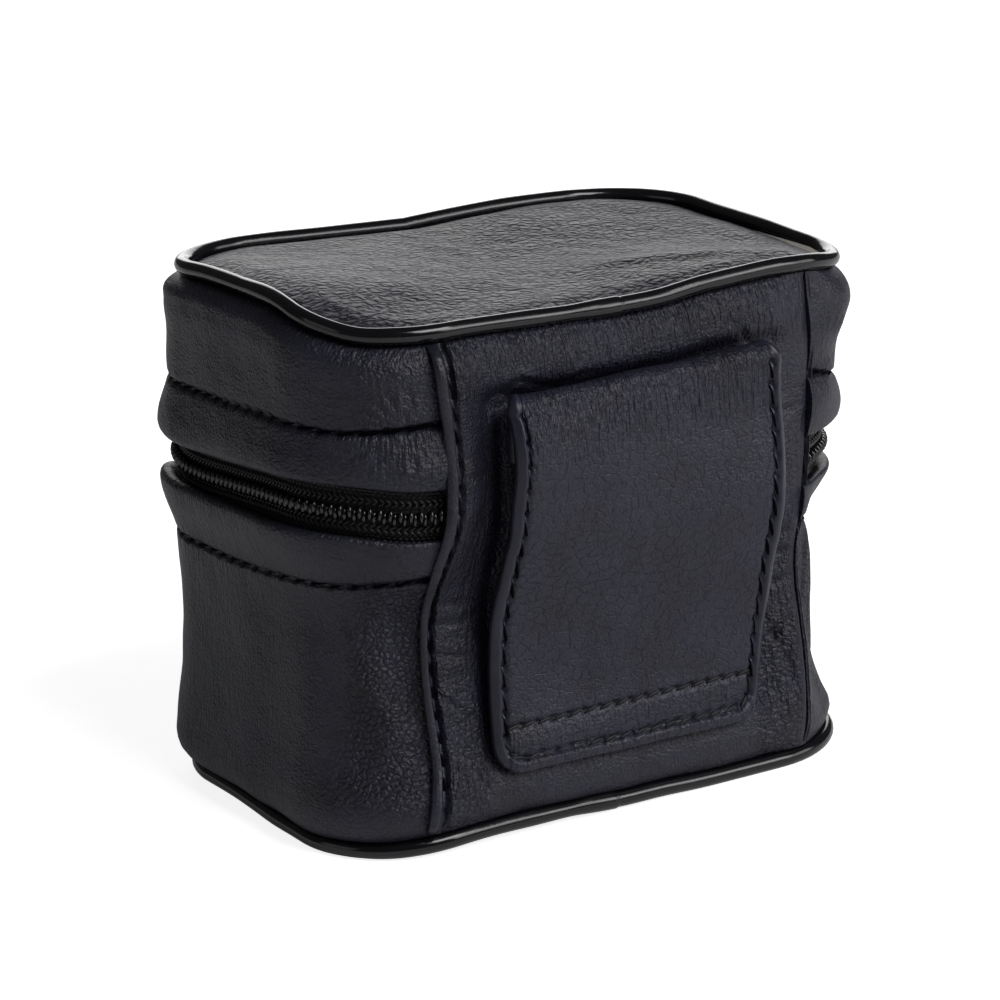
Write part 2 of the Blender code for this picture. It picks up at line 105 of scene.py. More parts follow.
# Near the seams the stitch lines rise and fall away from the zip
UPPER_HEM_RISE = 3.4
LOWER_HEM_RISE = -3.0
HEM_RISE_REACH = 11.0
# The bands' edges stand away from the tape, but not beside the seams
FLARE = 2.0
FLARE_FADE = 28.0
# Thickness of the leather, the lining and the tape, and how far behind the wall's face the last two lie
LEATHER = 1.4
LINING = 1.0
TAPE = 0.6
LAYER = 1.7
# From the zip's centre line to the tape, and from the bands' stitch lines to its other edge
TAPE_GAP = 0.5
TAPE_MARGIN = 1.5
# The zip's teeth, and the chain stitches and woven beads of its tape: how far apart they lie along it, how
# far above or below its centre line, and how far outside the wall's face
TOOTH_PITCH = 1.5
TOOTH_ROW = 0.3
CHAIN_PITCH = 1.0
CHAIN_OUT = -1.3
BEAD_PITCH = 0.85
BEAD_ROWS = (2.9, 3.45, 4.0, 4.55)
BEAD_OUT = -1.66
# The flat panels' leather is pebbled all over, and coarser, so its places are drawn in for a wider pattern
PANEL_PEBBLES = 0.9
PANEL_GRAIN = 0.6

# The back panel's turned side edges, its welts, lie over the ends of the bands
SEAM = 33.0
WELT_EDGE = 34.2
WELT_LIFT = 1.5
WELT_HALF = 0.75
WELT_STITCH = 32.0
BAND_START = 32.6
STITCH_PITCH = 3.6
# The right welt's stitches lie further out, and it is pressed flatter
RIGHT_WELT = 0.8
RIGHT_WELT_PRESS = 0.5
# How far the seams stray to +X, by height on the left and all along on the right
LEFT_STRAY = (
    (3, -1.4), (6, -1.1), (10, -0.6), (14, 0), (18, -0.1), (26, -0.8), (32, -1.1), (38, -0.8), (43, -0.3),
    (47, 0.2), (50, 0.8), (54, 1.3), (60, 1.6), (66, 1.3), (72, 0.6), (80, 0),
)
RIGHT_STRAY = 1.6
RIGHT_STRAY_PLACE = 30.5
STRAY_REACH = 7.0
RIGHT_STRAY_REACH = 4.0

# How far the wall stands outside the piping's centre line, by height: on the front and sides, at the
# back's left seam, behind the loop, at the back's right seam and on the corner beside it
FRONT_PROFILE = (
    (3.2, 1.2), (4.6, 2.6), (6.5, 3.3), (9, 3.1), (14, 2.4), (21, 1.9), (31, 2.0), (39, 2.6), (44, 2.9),
    (51.3, 2.9), (57, 3.0), (63.6, 3.4), (72, 3.3), (76, 3.4), (78.8, 2.6), (80, 0.8),
)
LEFT_PROFILE = (
    (3.2, 0.5), (4.6, 1.5), (7, 2.2), (15, -0.3), (28, -2.4), (37, -2.6), (43.6, 1.0),
    (48.4, 2.8), (51.3, 3.3), (55, 3.0), (63, 2.4), (72, 3.0), (78.6, 1.7), (80, 0.3),
)
BACK_PROFILE = (
    (3.2, 0.4), (4.6, 1.4), (7, 2.0), (15.2, -0.5), (28.2, -2.2), (37.4, -2.4), (43.6, -0.6), (48.4, 1.0),
    (51.3, 1.2), (58.5, 1.1), (63, 1.0), (69, 1.5), (74.3, 2.5), (78.6, 1.4), (80, 0.2),
)
RIGHT_PROFILE = (
    (3.2, 0.8), (7, 1.9), (10, 2.1), (14, 1.9), (20, 1.1), (26, 0), (34, -1.2), (39, -0.9), (43, -0.3),
    (49.5, 0.4), (56, 0.6), (65, 0.7), (69, 1.0), (72, 0.9), (75, 0.5), (78, 0.2), (80, 0.1),
)
CORNER_PROFILE = (
    (3.2, -0.2), (5.3, 0.6), (8, -0.5), (13.4, -2.1), (21.4, -2.7), (32, -3.5), (40, -4.1), (42.5, -3.8),
    (45, -2.6), (47.5, -1.3), (51.3, -0.9), (55, -0.1), (59, 0.2), (64, 0.3), (68.4, 0.7), (72.9, 2.2),
    (75.3, 2.8), (77.4, 2.5), (78.8, 1.6), (80, 0.3),
)
# Where along the plan each of them holds
WALL_PROFILES = (
    (-73, FRONT_PROFILE), (-32, LEFT_PROFILE), (-25, BACK_PROFILE), (25, BACK_PROFILE),
    (32, RIGHT_PROFILE), (42, CORNER_PROFILE), (78, FRONT_PROFILE),
)

# The soft case doesn't stand true: how far its two piped edges rise, by distance along the plan
TOP_WAVE = (
    (-145, -0.5), (-135, 0), (-124, 0.6), (-115, 1.0), (-108, 1.1), (-100, 1.5), (-92, 2.1), (-84, 2.7),
    (-73, 2.9), (-60, 2.6), (-55, 1.7), (-50, 0.7), (-44, -0.4), (-38, -0.6), (-28, -0.6), (-15, -1.1),
    (-1.5, -1.5), (6.6, -1.4), (14, -0.6), (21, -0.2), (29, 0), (35, -0.4), (42, -1.6), (53, -2.4),
    (60, -2.0), (68, -1.6), (85, -1.2), (99, -0.8), (109, -0.5), (120, 0), (132, 0), (145, -0.5),
)
FOOT_WAVE = (
    (-145, 0.3), (-125, 0.4), (-105, 0.1), (-92, 0.1), (-78, 0.2), (-68, -0.2), (-58, -0.3), (-49, -0.2),
    (-42, -0.1), (-36, 0.3), (-30, 0.7), (-15, 0.8), (-8, 0.6), (0, 0.2), (7, 0.1), (14, -0.2), (22, -0.3),
    (35, -0.3), (45, -0.2), (60, 0.1), (75, 0.3), (95, 0.1), (125, 0.4), (145, 0.3),
)
TOP_WAVE_REACH = 24.0
FOOT_WAVE_REACH = 20.0

# The belt loop, a strap sewn down at its foot, standing off the back and folded over at its top
LOOP_WIDTH = 48.8
LOOP_CENTRE = 0.2
LOOP_BOTTOM = 11.0
LOOP_THICKNESS = 2.2
LOOP_CORNER = 5.0
TAIL_INSET = 4.0
LOOP_GAP = 0.3
# Its fold's radius, its top on the left and the right, how far its left end hangs, and how far the strap
# stands off the back on either side, by height
FOLD_RADIUS = 2.4
LOOP_TOP = (71.9, 71.6)
LOOP_DROOP = 0.9
LEFT_STAND = (
    (11, 0), (20, 0.5), (27, 0.9), (33.5, 1.8), (40.5, 3.3), (47.5, 3.5), (54, 3.9), (60, 5.1), (63, 5.1),
    (66, 4.4), (70, 2.6),
)
RIGHT_STAND = (
    (11, 0), (15, 0.1), (19, 1.2), (26, 2.8), (33, 5.0), (40, 5.4), (47, 4.6), (53, 4.4), (58, 4.0),
    (62, 3.4), (66, 2.9), (70, 2.6),
)
# From the strap's edges to its stitch lines: at the sides, at the foot and across above the foot, where
# the stitches are shorter
LOOP_STITCH = 2.0
FOOT_STITCH = 2.1
LOOP_BOX = 7.2
FOOT_PITCH = 2.8
# How deep the stitches lie in the leather
STITCH_SINK = 0.6
STRAP_STITCH_SINK = 0.34

# Heights between which the back and the strap would bend when the lid opens
BACK_BEND = (ZIP_HEIGHT - 5, ZIP_HEIGHT + 5)
STRAP_BEND = (44.0, 66.0)

# Edges sharper than this many degrees are drawn sharp
SHARP_EDGE = 62


def smooth(value):
    """A step from 0 to 1 with soft ends."""
    value = np.clip(value, 0.0, 1.0)
    return value * value * (3 - 2 * value)


def hump(value, width):
    """A round hump, 1 at 0 and fading over the width."""
    return np.exp(-((value / width) ** 2))


def through(stations, place):
    """The value at a place, on a smooth curve through (place, value) stations."""
    places, values = np.array(stations, float).T
    slopes = np.gradient(values, places)
    place = np.clip(place, places[0], places[-1])
    step = np.clip(np.searchsorted(places, place) - 1, 0, len(places) - 2)
    width = places[step + 1] - places[step]
    t = (place - places[step]) / width
    bend = t * (1 - t) ** 2 * slopes[step] - t * t * (1 - t) * slopes[step + 1]
    return values[step] + (values[step + 1] - values[step]) * smooth(t) + width * bend


def noise(u, v, seed):
    """Smooth noise between -1 and 1, whose cells are 1 wide."""
    size = 128
    table = np.random.default_rng(seed).uniform(-1, 1, (size, size))
    i = np.floor(u).astype(int)
    j = np.floor(v).astype(int)
    a = smooth(u - i)
    b = smooth(v - j)
    low = table[i % size, j % size] * (1 - a) + table[(i + 1) % size, j % size] * a
    high = table[i % size, (j + 1) % size] * (1 - a) + table[(i + 1) % size, (j + 1) % size] * a
    return low * (1 - b) + high * b


def stroke(u, v, points, width):
    """1 along a line through the points, fading over the width to its sides and towards its ends."""
    points = np.array(points, float)
    nearest = np.full(np.shape(u), np.inf)
    share = np.zeros(np.shape(u))
    for step, (start, end) in enumerate(zip(points[:-1], points[1:])):
        run = end - start
        t = np.clip(((u - start[0]) * run[0] + (v - start[1]) * run[1]) / (run @ run), 0, 1)
        gap = np.hypot(u - start[0] - t * run[0], v - start[1] - t * run[1])
        share = np.where(gap < nearest, (step + t) / (len(points) - 1), share)
        nearest = np.minimum(nearest, gap)
    return hump(nearest, width) * np.sqrt(np.sin(np.pi * np.clip(share, 0.01, 0.99)))


def crease(u, v, points, width, depth):
    """A sharp furrow with raised banks."""
    return depth * (0.9 * stroke(u, v, points, 2.4 * width) - 1.6 * stroke(u, v, points, width))


def plan(distance):
    """Point and outward direction on the piping's plan."""
    distance = np.asarray(distance, float)
    left = (distance + HALF_X) % PERIMETER
    point = np.zeros(distance.shape + (2,))
    outward = np.zeros(distance.shape + (2,))
    runs = ((1, -1, HALF_X), (1, 1, HALF_Y), (-1, 1, HALF_X), (-1, -1, HALF_Y))
    for quarter, (side_x, side_y, half_run) in enumerate(runs):
        turn = (quarter - 1) * math.pi / 2
        bent = np.clip(left - 2 * half_run, 0, CORNER_ARC) / CORNER_RADIUS + turn
        straight = np.minimum(left - 2 * half_run, 0)
        across = np.stack([np.cos(bent), np.sin(bent)], -1)
        heading = np.array([-math.sin(turn), math.cos(turn)])
        corner = np.array([side_x * HALF_X, side_y * HALF_Y])
        place = corner + across * CORNER_RADIUS + heading * straight[..., None]
        here = (left >= 0)[..., None]
        point = np.where(here, place, point)
        outward = np.where(here, across, outward)
        left = left - 2 * half_run - CORNER_ARC
    return point, outward


def wrapped(distance):
    """The same distance along the plan, counted either way from the middle of the back."""
    return (np.asarray(distance, float) + PERIMETER / 2) % PERIMETER - PERIMETER / 2


def from_seam(distance):
    """Distance along the plan from the nearest seam of the back."""
    return np.abs(wrapped(distance)) - SEAM


def lean(height):
    """How far the case has leant to +X at a height."""
    return LEAN * smooth(height / TOP_RING)


def zip_level(distance):
    """Height of the zip's centre line."""
    point, _ = plan(distance)
    side = np.clip(point[..., 0] / HALF_X, -1, 1)
    tilt = ZIP_TILT * side * smooth(2 * (HALF_DEPTH - point[..., 1]) / CORNER_RADIUS)
    return ZIP_HEIGHT - tilt + through(ZIP_WAVE, wrapped(distance)) * (side < 0)


def droop(distance):
    """How far the upper band's edge and the zip hang on the left wall."""
    return through(ZIP_DROOP, wrapped(distance))


def hung_zip(distance):
    """Height of the zip's centre line with its droop."""
    return zip_level(distance) - droop(distance)


def strayed(distance, height):
    """Distance along the plan after the seams' straying."""
    place = wrapped(distance)
    left = through(LEFT_STRAY, height) * hump(place + SEAM, STRAY_REACH)
    return distance + left + RIGHT_STRAY * hump(place - RIGHT_STRAY_PLACE, RIGHT_STRAY_REACH)


def wall_offset(distance, height):
    """How far the wall stands outside the piping's centre line."""
    level = zip_level(distance)
    below = WALL_BOTTOM + (height - WALL_BOTTOM) * (ZIP_HEIGHT - WALL_BOTTOM) / (level - WALL_BOTTOM)
    above = WALL_TOP - (WALL_TOP - height) * (WALL_TOP - ZIP_HEIGHT) / (WALL_TOP - level)
    station = np.where(height < level, below, above)
    place = wrapped(distance)
    offset = through(FRONT_PROFILE, station)
    for (start, _), (end, profile) in zip(WALL_PROFILES[:-1], WALL_PROFILES[1:]):
        offset = offset + (through(profile, station) - offset) * smooth((place - start) / (end - start))
    return offset


def settled(distance, height):
    """A wall height as the soft case settles, between its two wavy edges."""
    place = wrapped(distance)
    top = through(TOP_WAVE, place) * smooth(1 - (WALL_TOP - height) / TOP_WAVE_REACH)
    foot = through(FOOT_WAVE, place) * smooth(1 - (height - WALL_BOTTOM) / FOOT_WAVE_REACH)
    return height + top + foot


def wall(distance, height, out=0.0):
    """A point on the wall's outer face, or outside it."""
    distance, height = np.broadcast_arrays(distance, height)
    point, outward = plan(strayed(distance, height))
    reach = wall_offset(distance, height) + out
    x = point[..., 0] + outward[..., 0] * reach + lean(height)
    y = point[..., 1] + outward[..., 1] * reach
    return np.stack([x, y, settled(distance, height)], -1)


def facing(distance, height):
    """The horizontal outward direction on the wall."""
    distance, _ = np.broadcast_arrays(distance, height)
    _, outward = plan(distance)
    return np.concatenate([outward, np.zeros(outward.shape[:-1] + (1,))], -1)


def mesh_object(name, points, faces, material):
    """A mesh object from points in millimetres, shaded smooth, with its faces pointing outwards."""
    mesh = bpy.data.meshes.new(name)
    mesh.from_pydata((np.asarray(points, float).reshape(-1, 3) * MM).tolist(), [], faces)
    bm = bmesh.new()
    bm.from_mesh(mesh)
    bmesh.ops.recalc_face_normals(bm, faces=bm.faces[:])
    bm.to_mesh(mesh)
    bm.free()
    mesh.shade_smooth()
    mesh.set_sharp_from_angle(angle=math.radians(SHARP_EDGE))
    mesh.materials.append(material)
    obj = bpy.data.objects.new(name, mesh)
    bpy.context.scene.collection.objects.link(obj)
    return obj


def note(obj, name, values):
    """Store a vector for each point of a mesh, for its material to read."""
    values = np.ascontiguousarray(values, np.float32)
    layer = obj.data.attributes.new(name, "FLOAT_VECTOR", "POINT")
    layer.data.foreach_set("vector", values.reshape(-1))


def flat_place(across, up):
    """Places on flat leather or cloth, in millimetres."""
    across, up = np.broadcast_arrays(across, up)
    return np.stack([across, up, np.zeros_like(up)], -1)


def textured(pebbled, puckered, polished):
    """What leather is like at each place, as its material reads it."""
    return np.stack(np.broadcast_arrays(pebbled, puckered, polished), -1)


def merged(name, parts, material):
    """Several objects or meshes made one piece."""
    bm = bmesh.new()
    for part in parts:
        bm.from_mesh(getattr(part, "data", part))
        if hasattr(part, "data"):
            bpy.data.objects.remove(part)
    whole = bpy.data.meshes.new(name)
    bm.to_mesh(whole)
    bm.free()
    whole.materials.clear()
    whole.materials.append(material)
    obj = bpy.data.objects.new(name, whole)
    bpy.context.scene.collection.objects.link(obj)
    return obj


def loft(name, loops, material, cyclic=False, hide=None, surface=None):
    """A closed body through closed loops of points. hide is each point's place on the flat leather or
    cloth, and surface says how pebbled, how puckered and how polished leather is there."""
    columns, count = loops.shape[:2]
    index = np.arange(columns * count).reshape(columns, count)
    near = index if cyclic else index[:-1]
    far = np.roll(index, -1, 0) if cyclic else index[1:]
    faces = np.stack([near, far, np.roll(far, -1, 1), np.roll(near, -1, 1)], -1).reshape(-1, 4).tolist()
    if not cyclic:
        faces += [index[0].tolist(), index[-1][::-1].tolist()]
    obj = mesh_object(name, loops, faces, material)
    if hide is not None:
        note(obj, "hide", hide)
    if surface is not None:
        note(obj, "surface", surface)
    return obj


def add(tree, kind, sockets=None, **settings):
    """Add a node with its settings, its inputs' values and links."""
    node = tree.nodes.new(kind)
    for name, value in settings.items():
        setattr(node, name, value)
    for key, value in (sockets or {}).items():
        if isinstance(value, bpy.types.NodeSocket):
            tree.links.new(value, node.inputs[key])
        else:
            node.inputs[key].default_value = value
    return node


def linear(code):
    """An sRGB hex colour as linear red, green, blue and alpha."""
    parts = [int(code[i:i + 2], 16) / 255 for i in (1, 3, 5)]
    return (*(c / 12.92 if c <= 0.04045 else ((c + 0.055) / 1.055) ** 2.4 for c in parts), 1.0)


def per_mm(size):
    """The texture scale that gives a pattern this many millimetres wide on Object coordinates."""
    return 1 / (size * MM)


def wave_scale(pitch):
    """The scale at which a wave texture's bands are a pitch apart."""
    return 2 * math.pi / (20 * pitch)


def new_material(name):
    """A material with an empty tree, and its tree."""
    material = bpy.data.materials.new(name)
    material.use_nodes = True
    material.node_tree.nodes.clear()
    return material, material.node_tree


def grained_leather(name, dark, light, roughness, grain, cracked):
    """Drum-dyed cowhide: smooth with a fine grain and faint cracks where it is stretched, pebbles parted
    by creases where it is loose, hair-thin furrows where it is gathered, and a dull shine on its
    high spots. Painted shade darkens the creases and cracks and takes shine from them. Every size is in
    millimetres on the flat leather."""
    material, tree = new_material(name)
    sheet = add(tree, "ShaderNodeAttribute", attribute_name="hide").outputs["Vector"]
    kind = add(tree, "ShaderNodeAttribute", attribute_name="surface").outputs["Vector"]
    kind = add(tree, "ShaderNodeSeparateXYZ", {"Vector": kind}).outputs
    pebbled, puckered, polished = kind["X"], kind["Y"], kind["Z"]

    def mottle(size, detail, where=sheet):
        """Soft noise, its blots this wide."""
        return add(tree, "ShaderNodeTexNoise", {"Vector": where, "Scale": 1 / size, "Detail": detail},
                   noise_dimensions="2D").outputs

    def from_creases(size, wander, slant, stretch):
        """Distance from the creases of irregular cells, drawn out along a slant."""
        warp = add(tree, "ShaderNodeVectorMath", {0: mottle(1.9 * size, 2.0)["Color"], 1: (0.5, 0.5, 0.5)},
                   operation="SUBTRACT")
        warp = add(tree, "ShaderNodeVectorMath", {0: warp.outputs[0], "Scale": wander * size},
                   operation="SCALE")
        bent = add(tree, "ShaderNodeVectorMath", {0: sheet, 1: warp.outputs[0]}, operation="ADD")
        drawn = add(tree, "ShaderNodeMapping", {
            "Vector": bent.outputs[0], "Rotation": (0, 0, math.radians(slant)), "Scale": (1 / stretch, 1, 1),
        })
        return add(tree, "ShaderNodeTexVoronoi", {"Vector": drawn.outputs[0], "Scale": 1 / size},
                   feature="DISTANCE_TO_EDGE", voronoi_dimensions="2D").outputs["Distance"]

    def risen(distance, width):
        """A soft step from 0 on a crease to 1 at the width beside it."""
        return add(tree, "ShaderNodeMapRange", {"Value": distance, "From Max": width},
                   interpolation_type="SMOOTHSTEP").outputs[0]

    pebble = from_creases(0.9, 1.3, 25, 1.35)
    furrow = risen(pebble, 0.26)
    dome = risen(pebble, 0.6)
    crack = risen(from_creases(1.5, 1.6, 15, 1.6), 0.12)
    combed = add(tree, "ShaderNodeMapping",
                 {"Vector": sheet, "Rotation": (0, 0, 0.2), "Scale": (1.6, 0.3, 1)})
    hairs = mottle(1.0, 2.0, combed.outputs[0])["Fac"]
    fine = mottle(0.45, 2.0)["Fac"]
    fold = mottle(2.4, 2.0)["Fac"]
    cloud = mottle(9.0, 4.0)["Fac"]
    soft = add(tree, "ShaderNodeMath", {0: polished, 1: -0.85, 2: 1.0}, operation="MULTIPLY_ADD").outputs[0]
    tight = add(tree, "ShaderNodeMath", {0: pebbled, 1: -cracked, 2: cracked}, operation="MULTIPLY_ADD")
    tight = add(tree, "ShaderNodeMath", {0: tight.outputs[0], 1: soft}, operation="MULTIPLY").outputs[0]

    height = 0.0
    for pattern, where, deep in (
        (furrow, pebbled, 0.05 * grain), (dome, pebbled, 0.16 * grain), (fold, pebbled, 0.4 * grain),
        (fold, soft, 0.2 * grain), (fine, soft, 0.26 * grain), (crack, tight, 0.09 * grain),
        (hairs, puckered, 1.9),
    ):
        shown = add(tree, "ShaderNodeMath", {0: pattern, 1: where}, operation="MULTIPLY")
        height = add(tree, "ShaderNodeMath", {0: shown.outputs[0], 1: deep, 2: height},
                     operation="MULTIPLY_ADD").outputs[0]
    bump = add(tree, "ShaderNodeBump", {"Height": height, "Strength": 1.0, "Distance": MM})

    # Painted shade: the colour is darkened and the shine lowered along the furrows between pebbles and the
    # cracks
    unshaded = 1.0
    for line, where, shade_depth in ((furrow, pebbled, 0.5), (crack, tight, 0.3)):
        crease_shade = add(tree, "ShaderNodeMath", {0: 1.0, 1: line}, operation="SUBTRACT")
        crease_shade = add(tree, "ShaderNodeMath", {0: crease_shade.outputs[0], 1: where}, operation="MULTIPLY")
        left = add(tree, "ShaderNodeMath", {0: crease_shade.outputs[0], 1: -shade_depth, 2: 1.0}, operation="MULTIPLY_ADD")
        unshaded = add(tree, "ShaderNodeMath", {0: left.outputs[0], 1: unshaded}, operation="MULTIPLY").outputs[0]
    tone = add(tree, "ShaderNodeMath", {0: unshaded, 1: cloud}, operation="MULTIPLY")
    colour = add(tree, "ShaderNodeMix", {"Factor": tone.outputs[0], "A": linear(dark), "B": linear(light)},
                 data_type="RGBA")
    dull = add(tree, "ShaderNodeMapRange",
               {"Value": cloud, "To Min": roughness + 0.05, "To Max": roughness + 0.15})
    dull = add(tree, "ShaderNodeMath", {0: unshaded, 1: -0.1, 2: dull.outputs[0]}, operation="MULTIPLY_ADD")
    shine = add(tree, "ShaderNodeMath", {0: unshaded, 1: 0.48}, operation="MULTIPLY")
    shader = add(tree, "ShaderNodeBsdfPrincipled", {
        "Base Color": colour.outputs["Result"], "Roughness": dull.outputs[0], "IOR": 1.45,
        "Specular IOR Level": shine.outputs[0], "Normal": bump.outputs[0],
    })
    add(tree, "ShaderNodeOutputMaterial", {"Surface": shader.outputs[0]})
    return material


def glossy_vinyl():
    """Calendered vinyl stretched over a cord: smooth and shiny, with the faint ripple of its backing."""
    material, tree = new_material("black_piping_vinyl")
    place = add(tree, "ShaderNodeTexCoord").outputs["Object"]
    ripple = add(tree, "ShaderNodeTexNoise", {"Vector": place, "Scale": per_mm(1.6), "Detail": 2.0})
    bump = add(tree, "ShaderNodeBump", {"Height": ripple.outputs["Fac"], "Distance": 0.02 * MM})
    wear = add(tree, "ShaderNodeTexNoise", {"Vector": place, "Scale": per_mm(6), "Detail": 4.0})
    dull = add(tree, "ShaderNodeMapRange", {"Value": wear.outputs["Fac"], "To Min": 0.1, "To Max": 0.2})
    colour = add(tree, "ShaderNodeMix", {"Factor": wear.outputs["Fac"], "A": linear("#08080a"),
                                         "B": linear("#121216")}, data_type="RGBA")
    shader = add(tree, "ShaderNodeBsdfPrincipled", {
        "Base Color": colour.outputs["Result"], "Roughness": dull.outputs[0], "IOR": 1.5,
        "Specular IOR Level": 0.5, "Normal": bump.outputs[0],
    })
    add(tree, "ShaderNodeOutputMaterial", {"Surface": shader.outputs[0]})
    return material


# Spacing of the bands of shade along a stitch
TWIST = 2.64


def twisted_thread(name, colour, roughness, shine):
    """Bonded polyester sewing thread: its twist shows as slanting shade along each stitch, drawn far wider
    than the plies are, which would be too fine to see."""
    material, tree = new_material(name)
    grain = add(tree, "ShaderNodeAttribute", attribute_name="grain").outputs["Vector"]
    slanted = add(tree, "ShaderNodeMapping", {"Vector": grain, "Rotation": (0, 0, math.radians(55))})
    plies = add(tree, "ShaderNodeTexWave", {"Vector": slanted.outputs[0], "Scale": wave_scale(TWIST * MM)})
    bump = add(tree, "ShaderNodeBump", {"Height": plies.outputs["Fac"], "Distance": 0.06 * MM})
    tint = add(tree, "ShaderNodeMix", {"Factor": plies.outputs["Fac"], "A": linear("#060608"),
                                       "B": linear(colour)}, data_type="RGBA")
    shader = add(tree, "ShaderNodeBsdfPrincipled", {
        "Base Color": tint.outputs["Result"], "Roughness": roughness, "Specular IOR Level": shine,
        "Normal": bump.outputs[0],
    })
    add(tree, "ShaderNodeOutputMaterial", {"Surface": shader.outputs[0]})
    return material


def woven_cloth(name, dark, light, thread, sheen, level=False):
    """Plain-woven nylon: over and under threads, drawn a little coarser than they are so that they show. A
    level cloth is woven along X and Y, and the others along their own flat places."""
    material, tree = new_material(name)
    sheet = add(tree, "ShaderNodeAttribute", attribute_name="hide").outputs["Vector"]
    if level:
        place = add(tree, "ShaderNodeTexCoord").outputs["Object"]
        sheet = add(tree, "ShaderNodeMapping", {"Vector": place, "Scale": (1 / MM,) * 3}).outputs[0]
    warp, weft = (add(tree, "ShaderNodeTexWave", {"Vector": sheet, "Scale": wave_scale(thread)},
                      bands_direction=axis).outputs["Fac"] for axis in "XY")
    weave = add(tree, "ShaderNodeMath", {0: warp, 1: weft}, operation="MULTIPLY")
    bump = add(tree, "ShaderNodeBump", {"Height": weave.outputs[0], "Distance": 0.08 * MM})
    colour = add(tree, "ShaderNodeMix", {"Factor": weave.outputs[0], "A": linear(dark), "B": linear(light)},
                 data_type="RGBA")
    shader = add(tree, "ShaderNodeBsdfPrincipled", {
        "Base Color": colour.outputs["Result"], "Roughness": 0.75, "Sheen Weight": sheen,
        "Normal": bump.outputs[0],
    })
    add(tree, "ShaderNodeOutputMaterial", {"Surface": shader.outputs[0]})
    return material


def drawn_nylon():
    """Nylon monofilament wound into a coil: smooth, black and shiny."""
    material, tree = new_material("black_nylon_coil")
    place = add(tree, "ShaderNodeTexCoord").outputs["Object"]
    scuff = add(tree, "ShaderNodeTexNoise", {"Vector": place, "Scale": per_mm(0.5), "Detail": 2.0})
    dull = add(tree, "ShaderNodeMapRange", {"Value": scuff.outputs["Fac"], "To Min": 0.14, "To Max": 0.28})
    colour = add(tree, "ShaderNodeMix", {"Factor": scuff.outputs["Fac"], "A": linear("#08080a"),
                                         "B": linear("#141417")}, data_type="RGBA")
    shader = add(tree, "ShaderNodeBsdfPrincipled", {
        "Base Color": colour.outputs["Result"], "Roughness": dull.outputs[0], "IOR": 1.53,
        "Specular IOR Level": 0.6,
    })
    add(tree, "ShaderNodeOutputMaterial", {"Surface": shader.outputs[0]})
    return material


def enamelled_metal():
    """Zinc casting under black enamel: hard shiny black, thin and worn brighter on its high spots."""
    material, tree = new_material("black_enamelled_metal")
    place = add(tree, "ShaderNodeTexCoord").outputs["Object"]
    wear = add(tree, "ShaderNodeTexNoise", {"Vector": place, "Scale": per_mm(1.3), "Detail": 5.0})
    worn = add(tree, "ShaderNodeMapRange", {"Value": wear.outputs["Fac"], "From Min": 0.62, "From Max": 0.75})
    colour = add(tree, "ShaderNodeMix", {"Factor": worn.outputs[0], "A": linear("#17171a"),
                                         "B": linear("#4a4a4e")}, data_type="RGBA")
    dull = add(tree, "ShaderNodeMapRange", {"Value": wear.outputs["Fac"], "To Min": 0.2, "To Max": 0.4})
    shader = add(tree, "ShaderNodeBsdfPrincipled", {
        "Base Color": colour.outputs["Result"], "Roughness": dull.outputs[0], "Metallic": 0.6,
    })
    add(tree, "ShaderNodeOutputMaterial", {"Surface": shader.outputs[0]})
    return material


def pressed_board():
    """Grey pulp board: matt, mottled with fibres."""
    material, tree = new_material("grey_stiffener_board")
    place = add(tree, "ShaderNodeTexCoord").outputs["Object"]
    fibre = add(tree, "ShaderNodeTexNoise", {"Vector": place, "Scale": per_mm(1.1), "Detail": 6.0})
    colour = add(tree, "ShaderNodeMix", {"Factor": fibre.outputs["Fac"], "A": linear("#7d7a74"),
                                         "B": linear("#98948c")}, data_type="RGBA")
    bump = add(tree, "ShaderNodeBump", {"Height": fibre.outputs["Fac"], "Distance": 0.05 * MM})
    shader = add(tree, "ShaderNodeBsdfPrincipled", {
        "Base Color": colour.outputs["Result"], "Roughness": 0.9, "Normal": bump.outputs[0],
    })
    add(tree, "ShaderNodeOutputMaterial", {"Surface": shader.outputs[0]})
    return material


LEATHER_HIDE = grained_leather("black_grained_leather", "#0c0c12", "#282938", 0.42, 1.0, 0.4)
STRAP_HIDE = grained_leather("black_strap_leather", "#0e0e15", "#292a3b", 0.4, 0.6, 1.0)
VINYL = glossy_vinyl()
# Painted shade: the black seam thread is drawn darker and duller still, for the shade in its grooves
THREAD = twisted_thread("black_thread_painted_groove_shade", "#050506", 0.9, 0.03)
STRAP_THREAD = twisted_thread("black_strap_thread", "#111114", 0.5, 0.3)
TAPE_YARN = twisted_thread("black_tape_yarn", "#16161a", 0.32, 0.6)
# Painted shade: the tape is black, and its colour is darker still for the shade of the recess it lies in
RECESS_SHADED_TAPE_CLOTH = woven_cloth("black_woven_tape", "#030304", "#0a0a0c", 0.5, 0.0)
LINING_CLOTH = woven_cloth("black_lining_cloth", "#0f0f12", "#222328", 0.4, 0.15)
LEVEL_CLOTH = woven_cloth("black_level_lining_cloth", "#0f0f12", "#222328", 0.4, 0.15, True)
COIL = drawn_nylon()
METAL = enamelled_metal()
BOARD = pressed_board()


